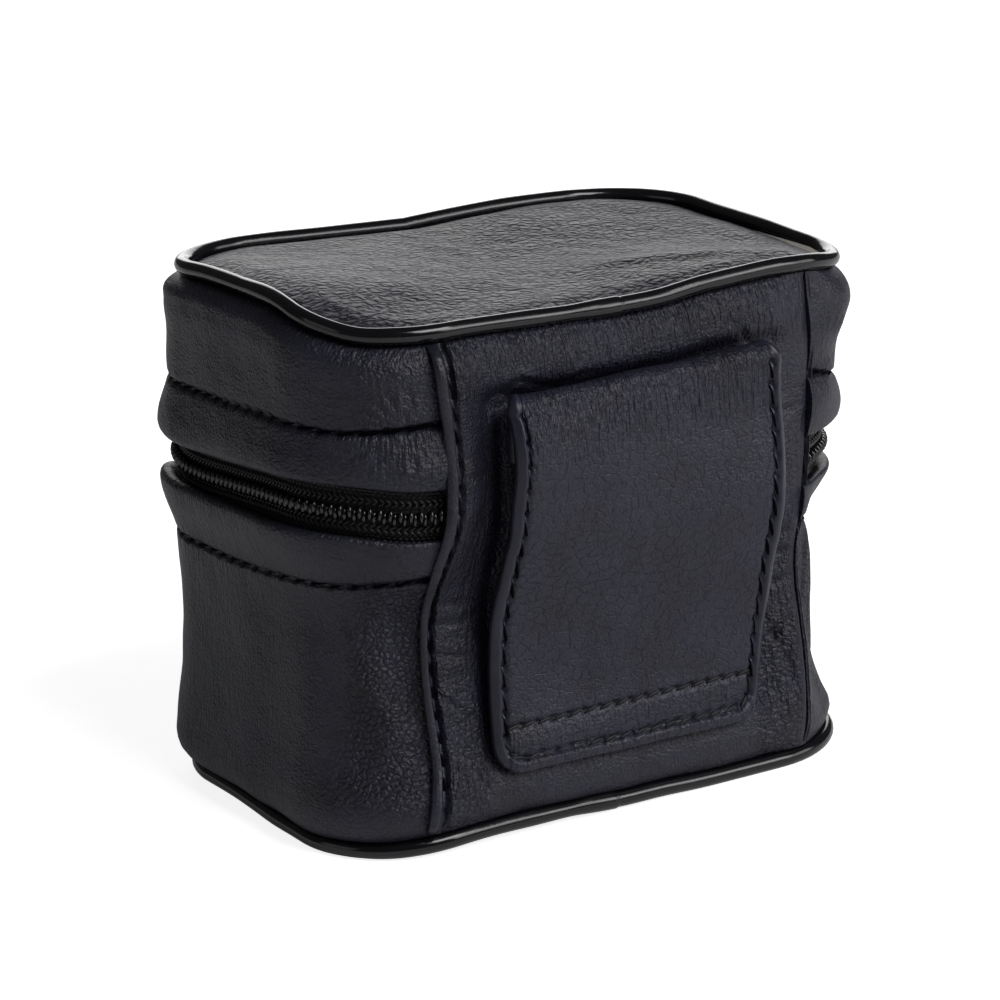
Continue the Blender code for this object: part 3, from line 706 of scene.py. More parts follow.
def grain_tree():
    """Grains set along a line: stitches, zip teeth and the beads of a woven tape."""
    tree = bpy.data.node_groups.new("grains_along_a_line", "GeometryNodeTree")
    face = tree.interface
    face.new_socket("Line", in_out="INPUT", socket_type="NodeSocketGeometry")
    for name, kind in (("Count", "Int"), ("Length", "Float"), ("Width", "Float"), ("Height", "Float"),
                       ("Slant", "Float"), ("Waver", "Float"), ("Segments", "Int"), ("Seed", "Int"),
                       ("Finish", "Material")):
        face.new_socket(name, in_out="INPUT", socket_type="NodeSocket" + kind)
    face.new_socket("Grains", in_out="OUTPUT", socket_type="NodeSocketGeometry")
    given = add(tree, "NodeGroupInput").outputs
    line = add(tree, "GeometryNodeMeshToCurve", {"Mesh": given["Line"]})
    spots = add(tree, "GeometryNodeCurveToPoints", {"Curve": line.outputs[0], "Count": given["Count"]},
                mode="COUNT")
    outward = add(tree, "GeometryNodeInputNamedAttribute", {"Name": "outward"}, data_type="FLOAT_VECTOR")
    upright = add(tree, "FunctionNodeAlignRotationToVector", {"Vector": outward.outputs["Attribute"]},
                  axis="Z")
    turned = add(tree, "FunctionNodeAlignRotationToVector",
                 {"Rotation": upright.outputs[0], "Vector": spots.outputs["Tangent"]},
                 axis="X", pivot_axis="Z")
    least = add(tree, "ShaderNodeMath", {0: given["Slant"], 1: given["Waver"]}, operation="SUBTRACT")
    most = add(tree, "ShaderNodeMath", {0: given["Slant"], 1: given["Waver"]}, operation="ADD")
    slant = add(tree, "FunctionNodeRandomValue",
                {2: least.outputs[0], 3: most.outputs[0], "Seed": given["Seed"]}, data_type="FLOAT")
    spin = add(tree, "ShaderNodeCombineXYZ", {"Z": slant.outputs[1]})
    spin = add(tree, "FunctionNodeEulerToRotation", {0: spin.outputs[0]})
    turned = add(tree, "FunctionNodeRotateRotation", {0: turned.outputs[0], 1: spin.outputs[0]},
                 rotation_space="LOCAL")
    rings = add(tree, "ShaderNodeMath", {0: given["Segments"], 1: 2.0}, operation="SUBTRACT")
    ball = add(tree, "GeometryNodeMeshUVSphere",
               {"Segments": given["Segments"], "Rings": rings.outputs[0], "Radius": 0.5})
    lying = add(tree, "GeometryNodeTransform", {"Geometry": ball.outputs[0], "Rotation": (0, math.pi / 2, 0)})
    size = add(tree, "ShaderNodeCombineXYZ",
               {"X": given["Length"], "Y": given["Width"], "Z": given["Height"]})
    sized = add(tree, "GeometryNodeTransform", {"Geometry": lying.outputs[0], "Scale": size.outputs[0]})
    own = add(tree, "GeometryNodeInputPosition")
    marked = add(tree, "GeometryNodeStoreNamedAttribute",
                 {"Geometry": sized.outputs[0], "Name": "grain", "Value": own.outputs[0]},
                 data_type="FLOAT_VECTOR", domain="POINT")
    smoothed = add(tree, "GeometryNodeSetShadeSmooth", {0: marked.outputs[0]})
    placed = add(tree, "GeometryNodeInstanceOnPoints",
                 {"Points": spots.outputs["Points"], "Instance": smoothed.outputs[0],
                  "Rotation": turned.outputs[0]})
    real = add(tree, "GeometryNodeRealizeInstances", {"Geometry": placed.outputs[0]})
    done = add(tree, "GeometryNodeSetMaterial", {"Geometry": real.outputs[0], "Material": given["Finish"]})
    add(tree, "NodeGroupOutput", {0: done.outputs[0]})
    return tree


GRAINS = grain_tree()


def grains(name, lines, material, length, width, height, slant=0.0, waver=0.0, segments=8):
    """Grains along lines. Each line is (points, outward directions, count), from first grain to last."""
    parts = []
    for seed, (points, outward, count) in enumerate(lines):
        mesh = bpy.data.meshes.new(name)
        edges = [(i, i + 1) for i in range(len(points) - 1)]
        mesh.from_pydata((np.asarray(points) * MM).tolist(), edges, [])
        obj = bpy.data.objects.new(name, mesh)
        bpy.context.scene.collection.objects.link(obj)
        note(obj, "outward", outward)
        modifier = obj.modifiers.new("grains", "NODES")
        modifier.node_group = GRAINS
        inputs = {
            "Count": int(count), "Length": length * MM, "Width": width * MM, "Height": height * MM,
            "Slant": math.radians(slant), "Waver": math.radians(waver), "Segments": segments, "Seed": seed,
            "Finish": material,
        }
        for item in GRAINS.interface.items_tree:
            if item.name in inputs:
                modifier[item.identifier] = inputs[item.name]
        evaluated = obj.evaluated_get(bpy.context.evaluated_depsgraph_get())
        parts.append(bpy.data.meshes.new_from_object(evaluated))
        bpy.data.objects.remove(obj)
    return merged(name, parts, material)


def paced(points, pitch):
    """Length run along a line of points, and how many steps of about the pitch it holds."""
    runs = np.linalg.norm(np.diff(points, axis=0), axis=1)
    length = np.concatenate([[0], np.cumsum(runs)])
    return length, max(int(round(length[-1] / pitch)), 1)


def spaced_line(points, outward, pitch, phase=0.5):
    """A line cut to run from its first grain to its last, a pitch apart, with those grains' count."""
    length, count = paced(points, pitch)
    step = length[-1] / count
    count = count if phase == 0.5 else count - 1
    places = np.linspace(phase * step, (phase + count - 1) * step, 6 * count)
    points = np.stack([np.interp(places, length, points[:, i]) for i in range(3)], -1)
    outward = np.stack([np.interp(places, length, outward[:, i]) for i in range(3)], -1)
    return points, outward, count


def hem_width(distance, upper):
    """From a band's turned edge to its stitch line."""
    near = hump(np.maximum(from_seam(distance), 0), HEM_RISE_REACH)
    if upper:
        return UPPER_HEM + UPPER_HEM_RISE * near + droop(distance)
    return LOWER_HEM + LOWER_HEM_RISE * near


def band_edge(distance, upper):
    """Height of a band's turned edge."""
    return hung_zip(distance) + UPPER_EDGE if upper else zip_level(distance) - LOWER_EDGE


def hem_level(distance, upper):
    """Height of a band's stitch line."""
    width = hem_width(distance, upper)
    return band_edge(distance, upper) + (width if upper else -width)


def hem_steps(upper):
    """Distances along a band's stitch line, and the number of the stitch reached at each."""
    run = np.linspace(BAND_START + 2.5, PERIMETER - BAND_START - 2.5, 900)
    length, count = paced(wall(run, hem_level(run, upper)), STITCH_PITCH)
    return run, length / length[-1] * count


HEM_STEPS = {upper: hem_steps(upper) for upper in (False, True)}


def needle_holes(steps):
    """1 at each needle hole, between one stitch and the next."""
    return hump(steps - np.round(steps), 0.13)


def opening(distance, from_edge, hem):
    """How far a band stands away from the zip tape, between its stitch line and its turned edge."""
    return FLARE * smooth(1 - from_edge / hem) * smooth(from_seam(distance) / FLARE_FADE)


def mirrored(distance):
    """Distances with the right side laid over the left, a little shifted so that the two aren't alike."""
    place = wrapped(distance)
    return np.where(place < 0, place, -place * 1.04 + 1.0)


# Creases fan out on the upper band beside the left seam, from round this place to these ends. The unseen
# right side repeats them, and the lower band's
FAN_MIDDLE = (-37.5, 67.4)
FAN_ENDS = (
    (-45, 70), (-44, 71.8), (-42, 73), (-40, 73.8), (-37.5, 74), (-35.2, 73.4), (-45, 63.6),
    (-42.5, 62.3), (-40.3, 61.4), (-38, 61), (-36, 61.2), (-34.6, 62),
)


def upper_relief(distance, from_edge, height):
    """How far the upper band's face stands outside the wall."""
    gap = from_seam(distance)
    place = mirrored(distance)
    holes = needle_holes(np.interp(distance % PERIMETER, *HEM_STEPS[True]))
    near = hump(gap - 4, 9)
    hem = hem_width(distance, True)
    out = opening(distance, from_edge, hem)
    out = out + (0.5 + 0.4 * near) * np.sin(np.pi * np.clip(from_edge / hem, 0, 1))
    out = out - (0.55 + 0.5 * near) * hump(from_edge - hem, 0.5)
    out = out - 0.6 * holes * hump(from_edge - hem, 0.55)
    out = out + 0.55 * hump(gap - 3.5, 4) * hump(height - 60.5, 3)
    out = out + 0.22 * noise(distance / 11, height / 8, 1) + 0.1 * noise(distance / 4.5, height / 4, 2)
    x, z = FAN_MIDDLE
    for end in FAN_ENDS:
        start = (x + 0.4 * (end[0] - x), z + 0.35 * (end[1] - z))
        out = out + crease(place, height, (start, end), 0.45, 0.2)
    return out


# The lower band's folds beside the left seam, and its creases with their depths
LOWER_RIDGE = ((-49.5, 35), (-47, 32), (-44, 28), (-41, 24.5), (-39.4, 20), (-39.6, 15))
LOWER_HOLLOW = ((-52, 40), (-50.5, 31), (-48, 24), (-46, 14), (-45.5, 8))
LOWER_VALLEY = ((-40.5, 41), (-38, 34), (-36.8, 27), (-35.8, 20))
LOWER_CREASES = (
    (((-45, 15.6), (-40, 14.6), (-36, 13.5)), 0.35), (((-43, 17.4), (-39, 16.9), (-36, 16.6)), 0.2),
    (((-43.5, 12.4), (-40, 11.9), (-36.5, 11.3)), 0.2), (((-52, 41), (-47, 36.5), (-42, 33.6)), 0.3),
    (((-50.5, 38), (-45.5, 34.4), (-40, 30.8)), 0.3), (((-47, 41), (-43, 37.6), (-39, 35)), 0.25),
    (((-44, 41.3), (-40.5, 38.6), (-37, 37.2)), 0.25), (((-43, 32), (-39.5, 29), (-36.5, 26)), 0.25),
)


def lower_relief(distance, from_edge, height):
    """How far the lower band's face stands outside the wall."""
    gap = from_seam(distance)
    place = mirrored(distance)
    holes = needle_holes(np.interp(distance % PERIMETER, *HEM_STEPS[False]))
    hem = hem_width(distance, False)
    out = opening(distance, from_edge, hem)
    out = out + 0.35 * np.sin(np.pi * np.clip(from_edge / hem, 0, 1))
    out = out - (0.55 + 0.4 * hump(gap - 3, 7)) * hump(from_edge - hem, 0.5)
    out = out - 0.6 * holes * hump(from_edge - hem, 0.55)
    out = out + 0.25 * noise(distance / 12, height / 12, 3) + 0.1 * noise(distance / 4.5, height / 4.5, 4)
    out = out + 1.0 * stroke(place, height, LOWER_RIDGE, 2.8)
    out = out - 0.8 * stroke(place, height, LOWER_HOLLOW, 3.6)
    out = out - 0.5 * stroke(place, height, LOWER_VALLEY, 2.2)
    out = out - 0.5 * hump(place + 64, 5) * smooth((42 - height) / 8)
    out = out + 0.4 * hump(height - 7.5, 2.5) * hump(place + 38, 4)
    for line, depth in LOWER_CREASES:
        out = out + crease(place, height, line, 0.55, depth)
    return out


def upper_texture(distance, height):
    """How pebbled, puckered and polished the upper band's leather is."""
    gap = from_seam(distance)
    sewn = hump(height - hem_level(distance, True), 2.2)
    pebbled = 0.16 + 0.35 * hump(height - 61.5, 3) * hump(gap - 4, 7)
    puckered = 0.12 * sewn + 0.3 * hump(gap - 4, 8) * hump(height - 65, 8)
    return textured(pebbled, puckered, 0.4 * hump(height - 58, 2))


def lower_texture(distance, height):
    """How pebbled, puckered and polished the lower band's leather is."""
    gap = from_seam(distance)
    loose = smooth((17 - gap - 0.12 * (height - 20)) / 5)
    loose = loose * smooth((height - 6) / 6) * smooth((43.5 - height) / 2)
    puckered = 0.1 * smooth((gap - 22) / 8) + 0.14 * hump(height - hem_level(distance, False), 2.2)
    return textured(0.14 + 0.76 * loose, puckered, 0.5 * hump(height - 46, 2))


def band(name, upper, relief, texture, material):
    """A leather band round three sides, with its edge turned under beside the zip."""
    run = np.linspace(BAND_START, PERIMETER - BAND_START, 640)[:, None]
    up = 1 if upper else -1
    hem = hem_width(run, upper)
    edge = band_edge(run, upper)
    reach = (WALL_TOP - edge) if upper else (edge - WALL_BOTTOM)
    half = 0.75 + 0.4 * smooth(from_seam(run) / FLARE_FADE)
    far_rows = hem + 1.2 + (reach - hem - 1.2) * np.linspace(1, 0, 36)
    hem_rows = hem + np.linspace(1.05, -1.05, 15)
    lip_rows = hem - 1.2 + (half - hem + 1.2) * np.linspace(0, 1, 20)
    rows = np.concatenate([far_rows, hem_rows, lip_rows], 1)
    face = wall(run, edge + up * rows, relief(run, rows, edge + up * rows))
    turn = np.linspace(0, np.pi, 9)[1:-1]
    lip = relief(run, half, edge + up * half) - half + half * np.cos(turn)
    lip = wall(run, edge + up * half * (1 - np.sin(turn)), lip)
    back_rows = half + (reach - half) * np.linspace(0, 1, 14)
    thickness = LEATHER + (2 * half - LEATHER) * smooth((hem - back_rows) / 3)
    back = wall(run, edge + up * back_rows, opening(run, back_rows, hem) - thickness)
    loops = np.concatenate([face, lip, back], 1)
    height = loops[..., 2]
    return loft(name, loops, material, hide=flat_place(run, height), surface=texture(run, height))


# The row of a sheet's points along which its cut length is measured
MEASURED_ROW = 12


def wall_sheet(name, run, rows, out, thickness, material):
    """A sheet of cloth along the wall, and the length and width that it was cut to, in metres."""
    face = wall(run, rows, out)
    back = wall(run, rows[:, ::-1], out[:, ::-1] - thickness)
    loops = np.concatenate([face, back], 1)
    obj = loft(name, loops, material, hide=flat_place(wrapped(run), loops[..., 2]))
    lines = (face[:, MEASURED_ROW], face[len(run) // 2])
    length, width = (np.linalg.norm(np.diff(line, axis=0), axis=1).sum() for line in lines)
    return obj, (length * MM, width * MM)


def wall_lining(name, run, low, high):
    """A lining that follows the wall behind its leather, from one height to another."""
    rows = low + (high - low) * np.linspace(0, 1, 24) + 0 * run
    sag = 0.15 * noise(run / 9, rows / 9, 5)
    return wall_sheet(name, run, rows, sag - LAYER, LINING, LINING_CLOTH)


def zip_tape(name, upper):
    """A woven tape that carries half of the zip, sewn behind its band."""
    run = np.linspace(BAND_START + 0.7, PERIMETER - BAND_START - 0.7, 500)[:, None]
    up = 1 if upper else -1
    middle = hung_zip(run)
    reach = up * (hem_level(run, upper) - middle) + TAPE_MARGIN
    rows = middle + up * (TAPE_GAP + (reach - TAPE_GAP) * np.linspace(0, 1, 26) ** 1.3)
    return wall_sheet(name, run, rows, np.full(rows.shape, -LAYER), TAPE, RECESS_SHADED_TAPE_CLOTH)


def from_middle(place):
    """Distance from the back's middle, counted less on the right, where the welt is narrower."""
    return np.abs(place) - RIGHT_WELT * (place > 0)


def welt(place):
    """How far the back's turned edges lie over the bands, the right one pressed flatter."""
    lift = WELT_LIFT * np.where(place > 0, RIGHT_WELT_PRESS, 1)
    return lift * smooth((from_middle(place) - WELT_STITCH - 0.3) / 0.8)


def welt_ends(height):
    """1 along the back's welts, 0 where they go in under the piping."""
    return smooth((WALL_TOP + 0.6 - height) / 1.8) * smooth((height - WALL_BOTTOM) / 2)


# Creases of the back with their depths: alike beside both seams, and those of one place
BACK_SIDE_CREASES = (
    ((-32, 38.8), (-25, 38.2), 0.35), ((-32, 35.2), (-25.5, 35.4), 0.4), ((-32, 31.2), (-25.5, 29.4), 0.45),
    ((-31.5, 25), (-25.5, 19.5), 0.4), ((-31, 59), (-24.5, 58.7), 0.3), ((-30, 48), (-25, 46.5), 0.3),
    ((-29.5, 16), (-25, 12.5), 0.3),
)
BACK_CREASES = (
    (((-23, 71.3), (-20, 72.8), (-16, 71.6), (-12.5, 70.5)), 0.4), (((-12, 71), (-9, 72.4), (-6, 72)), 0.3),
    (((17.5, 76.5), (21, 72), (24, 69)), 0.4), (((26, 27), (29, 20), (30, 13)), 0.35),
)


def back_relief(place, height):
    """How far the back panel's face stands outside the wall."""
    aside = from_middle(place)
    open_ends = welt_ends(height)
    out = welt(place) * open_ends
    out = out - 0.6 * hump(aside - WELT_STITCH, 0.55) * open_ends
    out = out - 0.5 * needle_holes(height / STITCH_PITCH) * hump(aside - WELT_STITCH, 0.45) * open_ends
    out = out + 0.2 * noise(place / 9, height / 12, 6) + 0.08 * noise(place / 3.5, height / 4, 7)
    out = out - 1.2 * hump(height - 70.3 - 0.03 * place, 1.8) * smooth((27 - aside) / 3)
    out = out - 0.8 * hump(place + 22.3, 1.5) * smooth((height - 14) / 5) * smooth((73 - height) / 3)
    out = out + 0.5 * hump(place + 28.5, 3) * hump(height - 62, 9)
    mirror = np.where(place < 0, place, -place * 1.02)
    for start, end, depth in BACK_SIDE_CREASES:
        out = out + crease(mirror, height, (start, end), 0.7, depth)
    for line, depth in BACK_CREASES:
        out = out + crease(place, height, line, 0.7, depth)
    return out


def back_texture(place, height):
    """How pebbled, puckered and polished the back panel's leather is."""
    aside = np.abs(place)
    inside = smooth((WELT_STITCH - aside) / 1.2)
    strip = smooth((aside - 23.5) / 2) * smooth((62 - height) / 10)
    gathered = smooth((height - 69) / 4) + 0.5 * hump(height - 11, 2)
    pebbled = 0.15 + 0.35 * strip * smooth((34 - height) / 16) + 0.25 * strip
    return textured(pebbled * inside, (0.45 * gathered + 0.2 * strip) * inside, 0.6 * (1 - inside))


def back_panel(material):
    """The back in one piece from foot to top, its side edges turned under and lying over the bands."""
    rows = np.linspace(WALL_BOTTOM, WALL_TOP, 200)[:, None]
    margin = np.linspace(WELT_HALF, 6, 30) - WELT_EDGE
    middle = np.linspace(6.3, 2 * WELT_EDGE - 6.3, 120) - WELT_EDGE
    across = np.concatenate([margin, middle, -margin[::-1]])
    face = wall(across, rows, back_relief(across, rows))
    turn = np.linspace(0, np.pi, 9)[1:-1]
    edges = []
    for side in (1, -1):
        edge = side * (WELT_EDGE - WELT_HALF)
        lip = back_relief(edge, rows) - WELT_HALF + WELT_HALF * np.cos(turn)
        edges.append(wall(edge + side * WELT_HALF * np.sin(turn), rows, lip))
    inside = np.linspace(WELT_EDGE - WELT_HALF, WELT_HALF - WELT_EDGE, 40)
    back = wall(inside, rows, welt(inside) * welt_ends(rows) - 2 * WELT_HALF)
    loops = np.concatenate([face, edges[0], back, edges[1][:, ::-1]], 1)
    tip = np.full(len(turn), WELT_EDGE)
    place, height = np.broadcast_arrays(np.concatenate([across, tip, inside, -tip]), loops[..., 2])
    return loft("back_panel_leather", loops, material, hide=flat_place(place, height),
                surface=back_texture(place, height))


def straight_length(across):
    """Length of the strap from its foot to the start of its fold."""
    share = across / LOOP_WIDTH + 0.5
    left, right = (top - FOLD_RADIUS - LOOP_BOTTOM for top in LOOP_TOP)
    return left + (right - left) * share - LOOP_DROOP * smooth((-across - 2) / 22)


def strap(across, along):
    """A point on the belt loop's outer face, along its length from the foot, over the fold and behind."""
    across, along = np.broadcast_arrays(across, along)
    share = across / LOOP_WIDTH + 0.5
    straight = straight_length(across)
    turn = np.clip((along - straight) / FOLD_RADIUS, 0, np.pi)
    level = LOOP_BOTTOM + np.minimum(along, straight)
    stand = through(LEFT_STAND, level) * (1 - share) + through(RIGHT_STAND, level) * share
    out = LOOP_GAP + np.where(along < straight, LOOP_THICKNESS + stand, FOLD_RADIUS * (1 + np.cos(turn)))
    tail = np.maximum(along - straight - np.pi * FOLD_RADIUS, 0)
    inset = TAIL_INSET * smooth(turn / np.pi) * across / LOOP_WIDTH
    anchor = wall(LOOP_CENTRE + across - inset, level - tail)
    rise = anchor[..., 2] + FOLD_RADIUS * np.sin(turn)
    return np.stack([anchor[..., 0], anchor[..., 1] - out, rise], -1)


def strap_facing(across, along):
    """The outward direction of the belt loop's face."""
    step = 0.05
    sideways = strap(across + step, along) - strap(across - step, along)
    upwards = strap(across, along + step) - strap(across, along - step)
    normal = np.cross(sideways, upwards)
    return normal / np.linalg.norm(normal, axis=-1, keepdims=True)


def strap_half(along):
    """Half the strap's width, which rounds in at the corners of its foot."""
    corner = np.clip(LOOP_CORNER - along, 0, LOOP_CORNER)
    return LOOP_WIDTH / 2 - LOOP_CORNER + np.sqrt(LOOP_CORNER ** 2 - corner ** 2)


def strap_row():
    """The stitch line round the strap: its places across and along."""
    side = LOOP_WIDTH / 2 - LOOP_STITCH
    round_x = LOOP_CORNER - LOOP_STITCH
    round_y = LOOP_CORNER - FOOT_STITCH
    turn = np.linspace(0, np.pi / 2, 12)
    halves = []
    for sign in (-1, 1):
        down = np.linspace(straight_length(sign * side) - 0.4, LOOP_CORNER, 160)
        straight = np.stack([np.full(160, sign * side), down], -1)
        across = sign * (side - round_x * (1 - np.cos(turn)))
        bend = np.stack([across, LOOP_CORNER - round_y * np.sin(turn)], -1)
        halves.append(np.concatenate([straight, bend[1:]]))
    middle = np.stack([np.linspace(round_x - side, side - round_x, 120), np.full(120, FOOT_STITCH)], -1)
    return np.concatenate([halves[0], middle[1:-1], halves[1][::-1]])


# The strap's stitch line, and its three parts with their stitches' length: left side, foot and right side
STRAP_ROW = strap_row()
FOOT_PART = np.flatnonzero(STRAP_ROW[:, 1] < LOOP_CORNER + 1)
STRAP_PARTS = (
    (slice(0, FOOT_PART[0] + 1), STITCH_PITCH), (slice(FOOT_PART[0], FOOT_PART[-1] + 1), FOOT_PITCH),
    (slice(FOOT_PART[-1], None), STITCH_PITCH),
)


def strap_steps():
    """The number of the stitch at each place of the stitch line, counted anew on each part of it."""
    steps = np.zeros(len(STRAP_ROW))
    for part, pitch in STRAP_PARTS:
        length, count = paced(strap(STRAP_ROW[part, 0], STRAP_ROW[part, 1]), pitch)
        steps[part] = length / length[-1] * count
    return steps


STRAP_STEPS = strap_steps()


def beside_row(across, along):
    """How far a place on the strap is from its stitch line, and the number of the stitch there."""
    across, along = np.broadcast_arrays(across, along)
    nearest = np.full(across.shape, np.inf)
    steps = np.zeros(across.shape)
    for (x, y), step in zip(STRAP_ROW, STRAP_STEPS):
        gap = np.hypot(across - x, along - y)
        steps = np.where(gap < nearest, step, steps)
        nearest = np.minimum(nearest, gap)
    return nearest, steps


def strap_relief(across, along, from_edge):
    """How thick the strap is before and behind its middle, and its face's own relief."""
    body = LOOP_THICKNESS / 2 * np.sqrt(1 - (1 - np.clip(from_edge / 1.15, 0, 1)) ** 2)
    inside = smooth((from_edge - 0.4) / 0.8)
    gap, steps = beside_row(across, along)
    out = 0.25 * hump(from_edge - 1.4, 0.8) - 0.5 * hump(gap, 0.55)
    out = out - 0.7 * needle_holes(steps) * hump(gap, 0.6)
    box = smooth((LOOP_WIDTH / 2 - np.abs(across) - LOOP_STITCH) / 0.5) * hump(along - LOOP_BOX, 0.6)
    out = out - (0.45 + 0.7 * needle_holes(across / FOOT_PITCH)) * box
    out = out + 0.25 * noise(across / 13, along / 15, 8) + 0.08 * noise(across / 5, along / 6, 9)
    out = out + 0.25 * hump(along - 4.5, 1.8) * smooth((from_edge - 2.4) / 2)
    return body, out * inside


def strap_texture(across, along):
    """How pebbled, puckered and polished the strap's leather is."""
    upper = smooth((along - 46) / 9)
    foot = smooth((10 - along) / 3)
    rim = smooth((np.abs(across) - LOOP_WIDTH / 2 + 2.4) / 0.6)
    return textured(0.1 * (1 - rim), (0.42 * upper + 0.16 * foot) * (1 - rim), rim)


def belt_loop(material):
    """The wide strap, with its edges turned and sewn, lofted along its length."""
    foot = [0.03, 0.12, 0.25, 0.42, 0.62, 0.85, 1.1, 1.35]
    spans = ((1.6, 13, 0.28), (13, 56, 0.42), (56, 68, 0.34), (68, 74, 0.8))
    along = np.concatenate([foot, *(np.arange(*span) for span in spans)])[:, None]
    half = strap_half(along)
    margin = np.concatenate([[0, 0.06, 0.16, 0.3, 0.48, 0.7], np.arange(0.95, 4.6, 0.2)])
    middle = np.linspace(-1, 1, 86)[1:-1] * (half - 4.7)
    across = np.concatenate([margin - half, middle, (half - margin)[:, ::-1]], 1)
    corner_x = np.maximum(np.abs(across) - LOOP_WIDTH / 2 + LOOP_CORNER, 0)
    corner_y = np.maximum(LOOP_CORNER - along, 0)
    from_edge = LOOP_CORNER - np.hypot(corner_x, corner_y)
    deep = np.minimum(LOOP_WIDTH / 2 - np.abs(across), along)
    from_edge = np.maximum(np.where((corner_x > 0) | (corner_y > 0), from_edge, deep), 0)
    body, relief = strap_relief(across, along, from_edge)
    outer = strap(across, along)
    normal = strap_facing(across, along)
    centre = outer - normal * LOOP_THICKNESS / 2
    face = centre + normal * (body + relief)[..., None]
    back = (centre - normal * body[..., None])[:, -2:0:-2]
    loops = np.concatenate([face, back], 1)
    places = np.concatenate([across, across[:, -2:0:-2]], 1)
    return loft("belt_loop_strap", loops, material, hide=flat_place(places, along),
                surface=strap_texture(places, along))


def strap_lines():
    """The strap's stitch lines in their grooves: down its sides the thread is darker still, painted shade for
    the grooves, with the twist showing at its foot.
    """
    box = np.stack([np.linspace(-1, 1, 200) * (LOOP_WIDTH / 2 - LOOP_STITCH), np.full(200, LOOP_BOX)], -1)
    left, foot, right = (STRAP_ROW[part] for part, _ in STRAP_PARTS)
    lines = []
    for name, rows, thread, pitch in (("belt_loop_side_stitches", (left, right), THREAD, STITCH_PITCH),
                                      ("belt_loop_foot_stitches", (foot, box), STRAP_THREAD, FOOT_PITCH)):
        paths = []
        for row in rows:
            normal = strap_facing(row[:, 0], row[:, 1])
            points = strap(row[:, 0], row[:, 1]) - normal * STRAP_STITCH_SINK
            paths.append(spaced_line(points, normal, pitch))
        lines.append((name, paths, thread, 0.95 * pitch))
    return lines


def ring(distance, top):
    """The centre line of a piped edge."""
    point, outward = plan(distance)
    level = TOP_RING if top else BOTTOM_RING
    lift = through(TOP_WAVE if top else FOOT_WAVE, wrapped(distance))
    x = point[..., 0] + (LEAN if top else 0)
    return np.stack([x, point[..., 1], level + lift], -1), outward


def piped_edge(name, top, join, overlap, material):
    """Vinyl piping round an edge, its two ends lapped one over the other at the join."""
    count = 900
    distance = np.arange(count) / count * PERIMETER
    centre, outward = ring(distance, top)
    place = wrapped(distance)
    lapped = smooth((place - join + overlap) / 6) * smooth((join - place) / 0.35 + 1)
    radius = PIPING_RADIUS + 0.14 * lapped + 0.05 * noise(distance / 7, 0 * distance, 10)
    turn = np.linspace(0, 2 * np.pi, 24, endpoint=False)[:, None]
    side = np.concatenate([outward, np.zeros((count, 1))], 1)[:, None, :]
    up = np.array([0, 0, 1.0])
    loops = centre[:, None, :] + radius[:, None, None] * (np.cos(turn) * side + np.sin(turn) * up)
    return loft(name, loops, material, cyclic=True)


def panel_grid(inset):
    """Places on a panel inside the piping, in columns along X: x, y and how far each is inside the edge."""
    corner = CORNER_RADIUS - inset
    turn = np.linspace(0, np.pi / 2, 26)
    outer = HALF_X + corner * np.sin(turn)
    x = np.concatenate([-outer[::-1], np.linspace(-HALF_X, HALF_X, 90)[1:-1], outer])[:, None]
    aside = np.maximum(np.abs(x) - HALF_X, 0)
    limit = HALF_Y + np.sqrt(np.maximum(corner ** 2 - aside ** 2, 0))
    share = np.linspace(-1, 1, 110)
    y = limit * (0.6 * share + 0.4 * np.sin(share * np.pi / 2))
    deep = np.maximum(np.abs(y) - HALF_Y, 0)
    inside = corner - np.hypot(aside, deep)
    flat = np.minimum(HALF_X + corner - np.abs(x), HALF_Y + corner - np.abs(y))
    inside = np.where((aside > 0) & (deep > 0), inside, flat)
    return np.broadcast_to(x, y.shape), y, np.maximum(inside, 0)


def edge_lift(x, y, inside, top):
    """How far the wavy piped edge carries a panel up or down, closely at the edge and loosely inside it."""
    centre, _ = ring(np.arange(90) / 90 * PERIMETER, top)
    level = TOP_RING if top else BOTTOM_RING
    shift = LEAN if top else 0
    gap = (x[..., None] - centre[:, 0] + shift) ** 2 + (y[..., None] - centre[:, 1]) ** 2
    soft, sharp = ((weight * (centre[:, 2] - level)).sum(-1) / weight.sum(-1)
                   for weight in (1 / (gap + 1) ** 2, 1 / (gap + 0.6) ** 3))
    return soft + (sharp - soft) * smooth(1 - inside / 4)


# The long soft fold across the top panel, and how far the panel's middle sinks
TOP_FOLD = ((6, -10), (12.4, -12.6), (19.4, -16), (26.5, -19.4), (34.8, -23.9), (39, -31))
TOP_HOLLOW = 0.9


def top_height(x, y, inside):
    """The top panel's face: padded up by its turned edges, hollow in the middle, with one long soft fold."""
    z = TOP_RING - 0.2 + edge_lift(x, y, inside, True) + 0.9 * smooth(inside / 7)
    z = z - TOP_HOLLOW * hump(x - 6, 30) * hump(y - 4, 15)
    z = z + 0.7 * stroke(x, y, TOP_FOLD, 3.2)
    z = z + 0.25 * noise(x / 13, y / 11, 11) + 0.08 * noise(x / 5, y / 5, 12)
    return z - 0.4 * hump(inside - 0.6, 0.9)


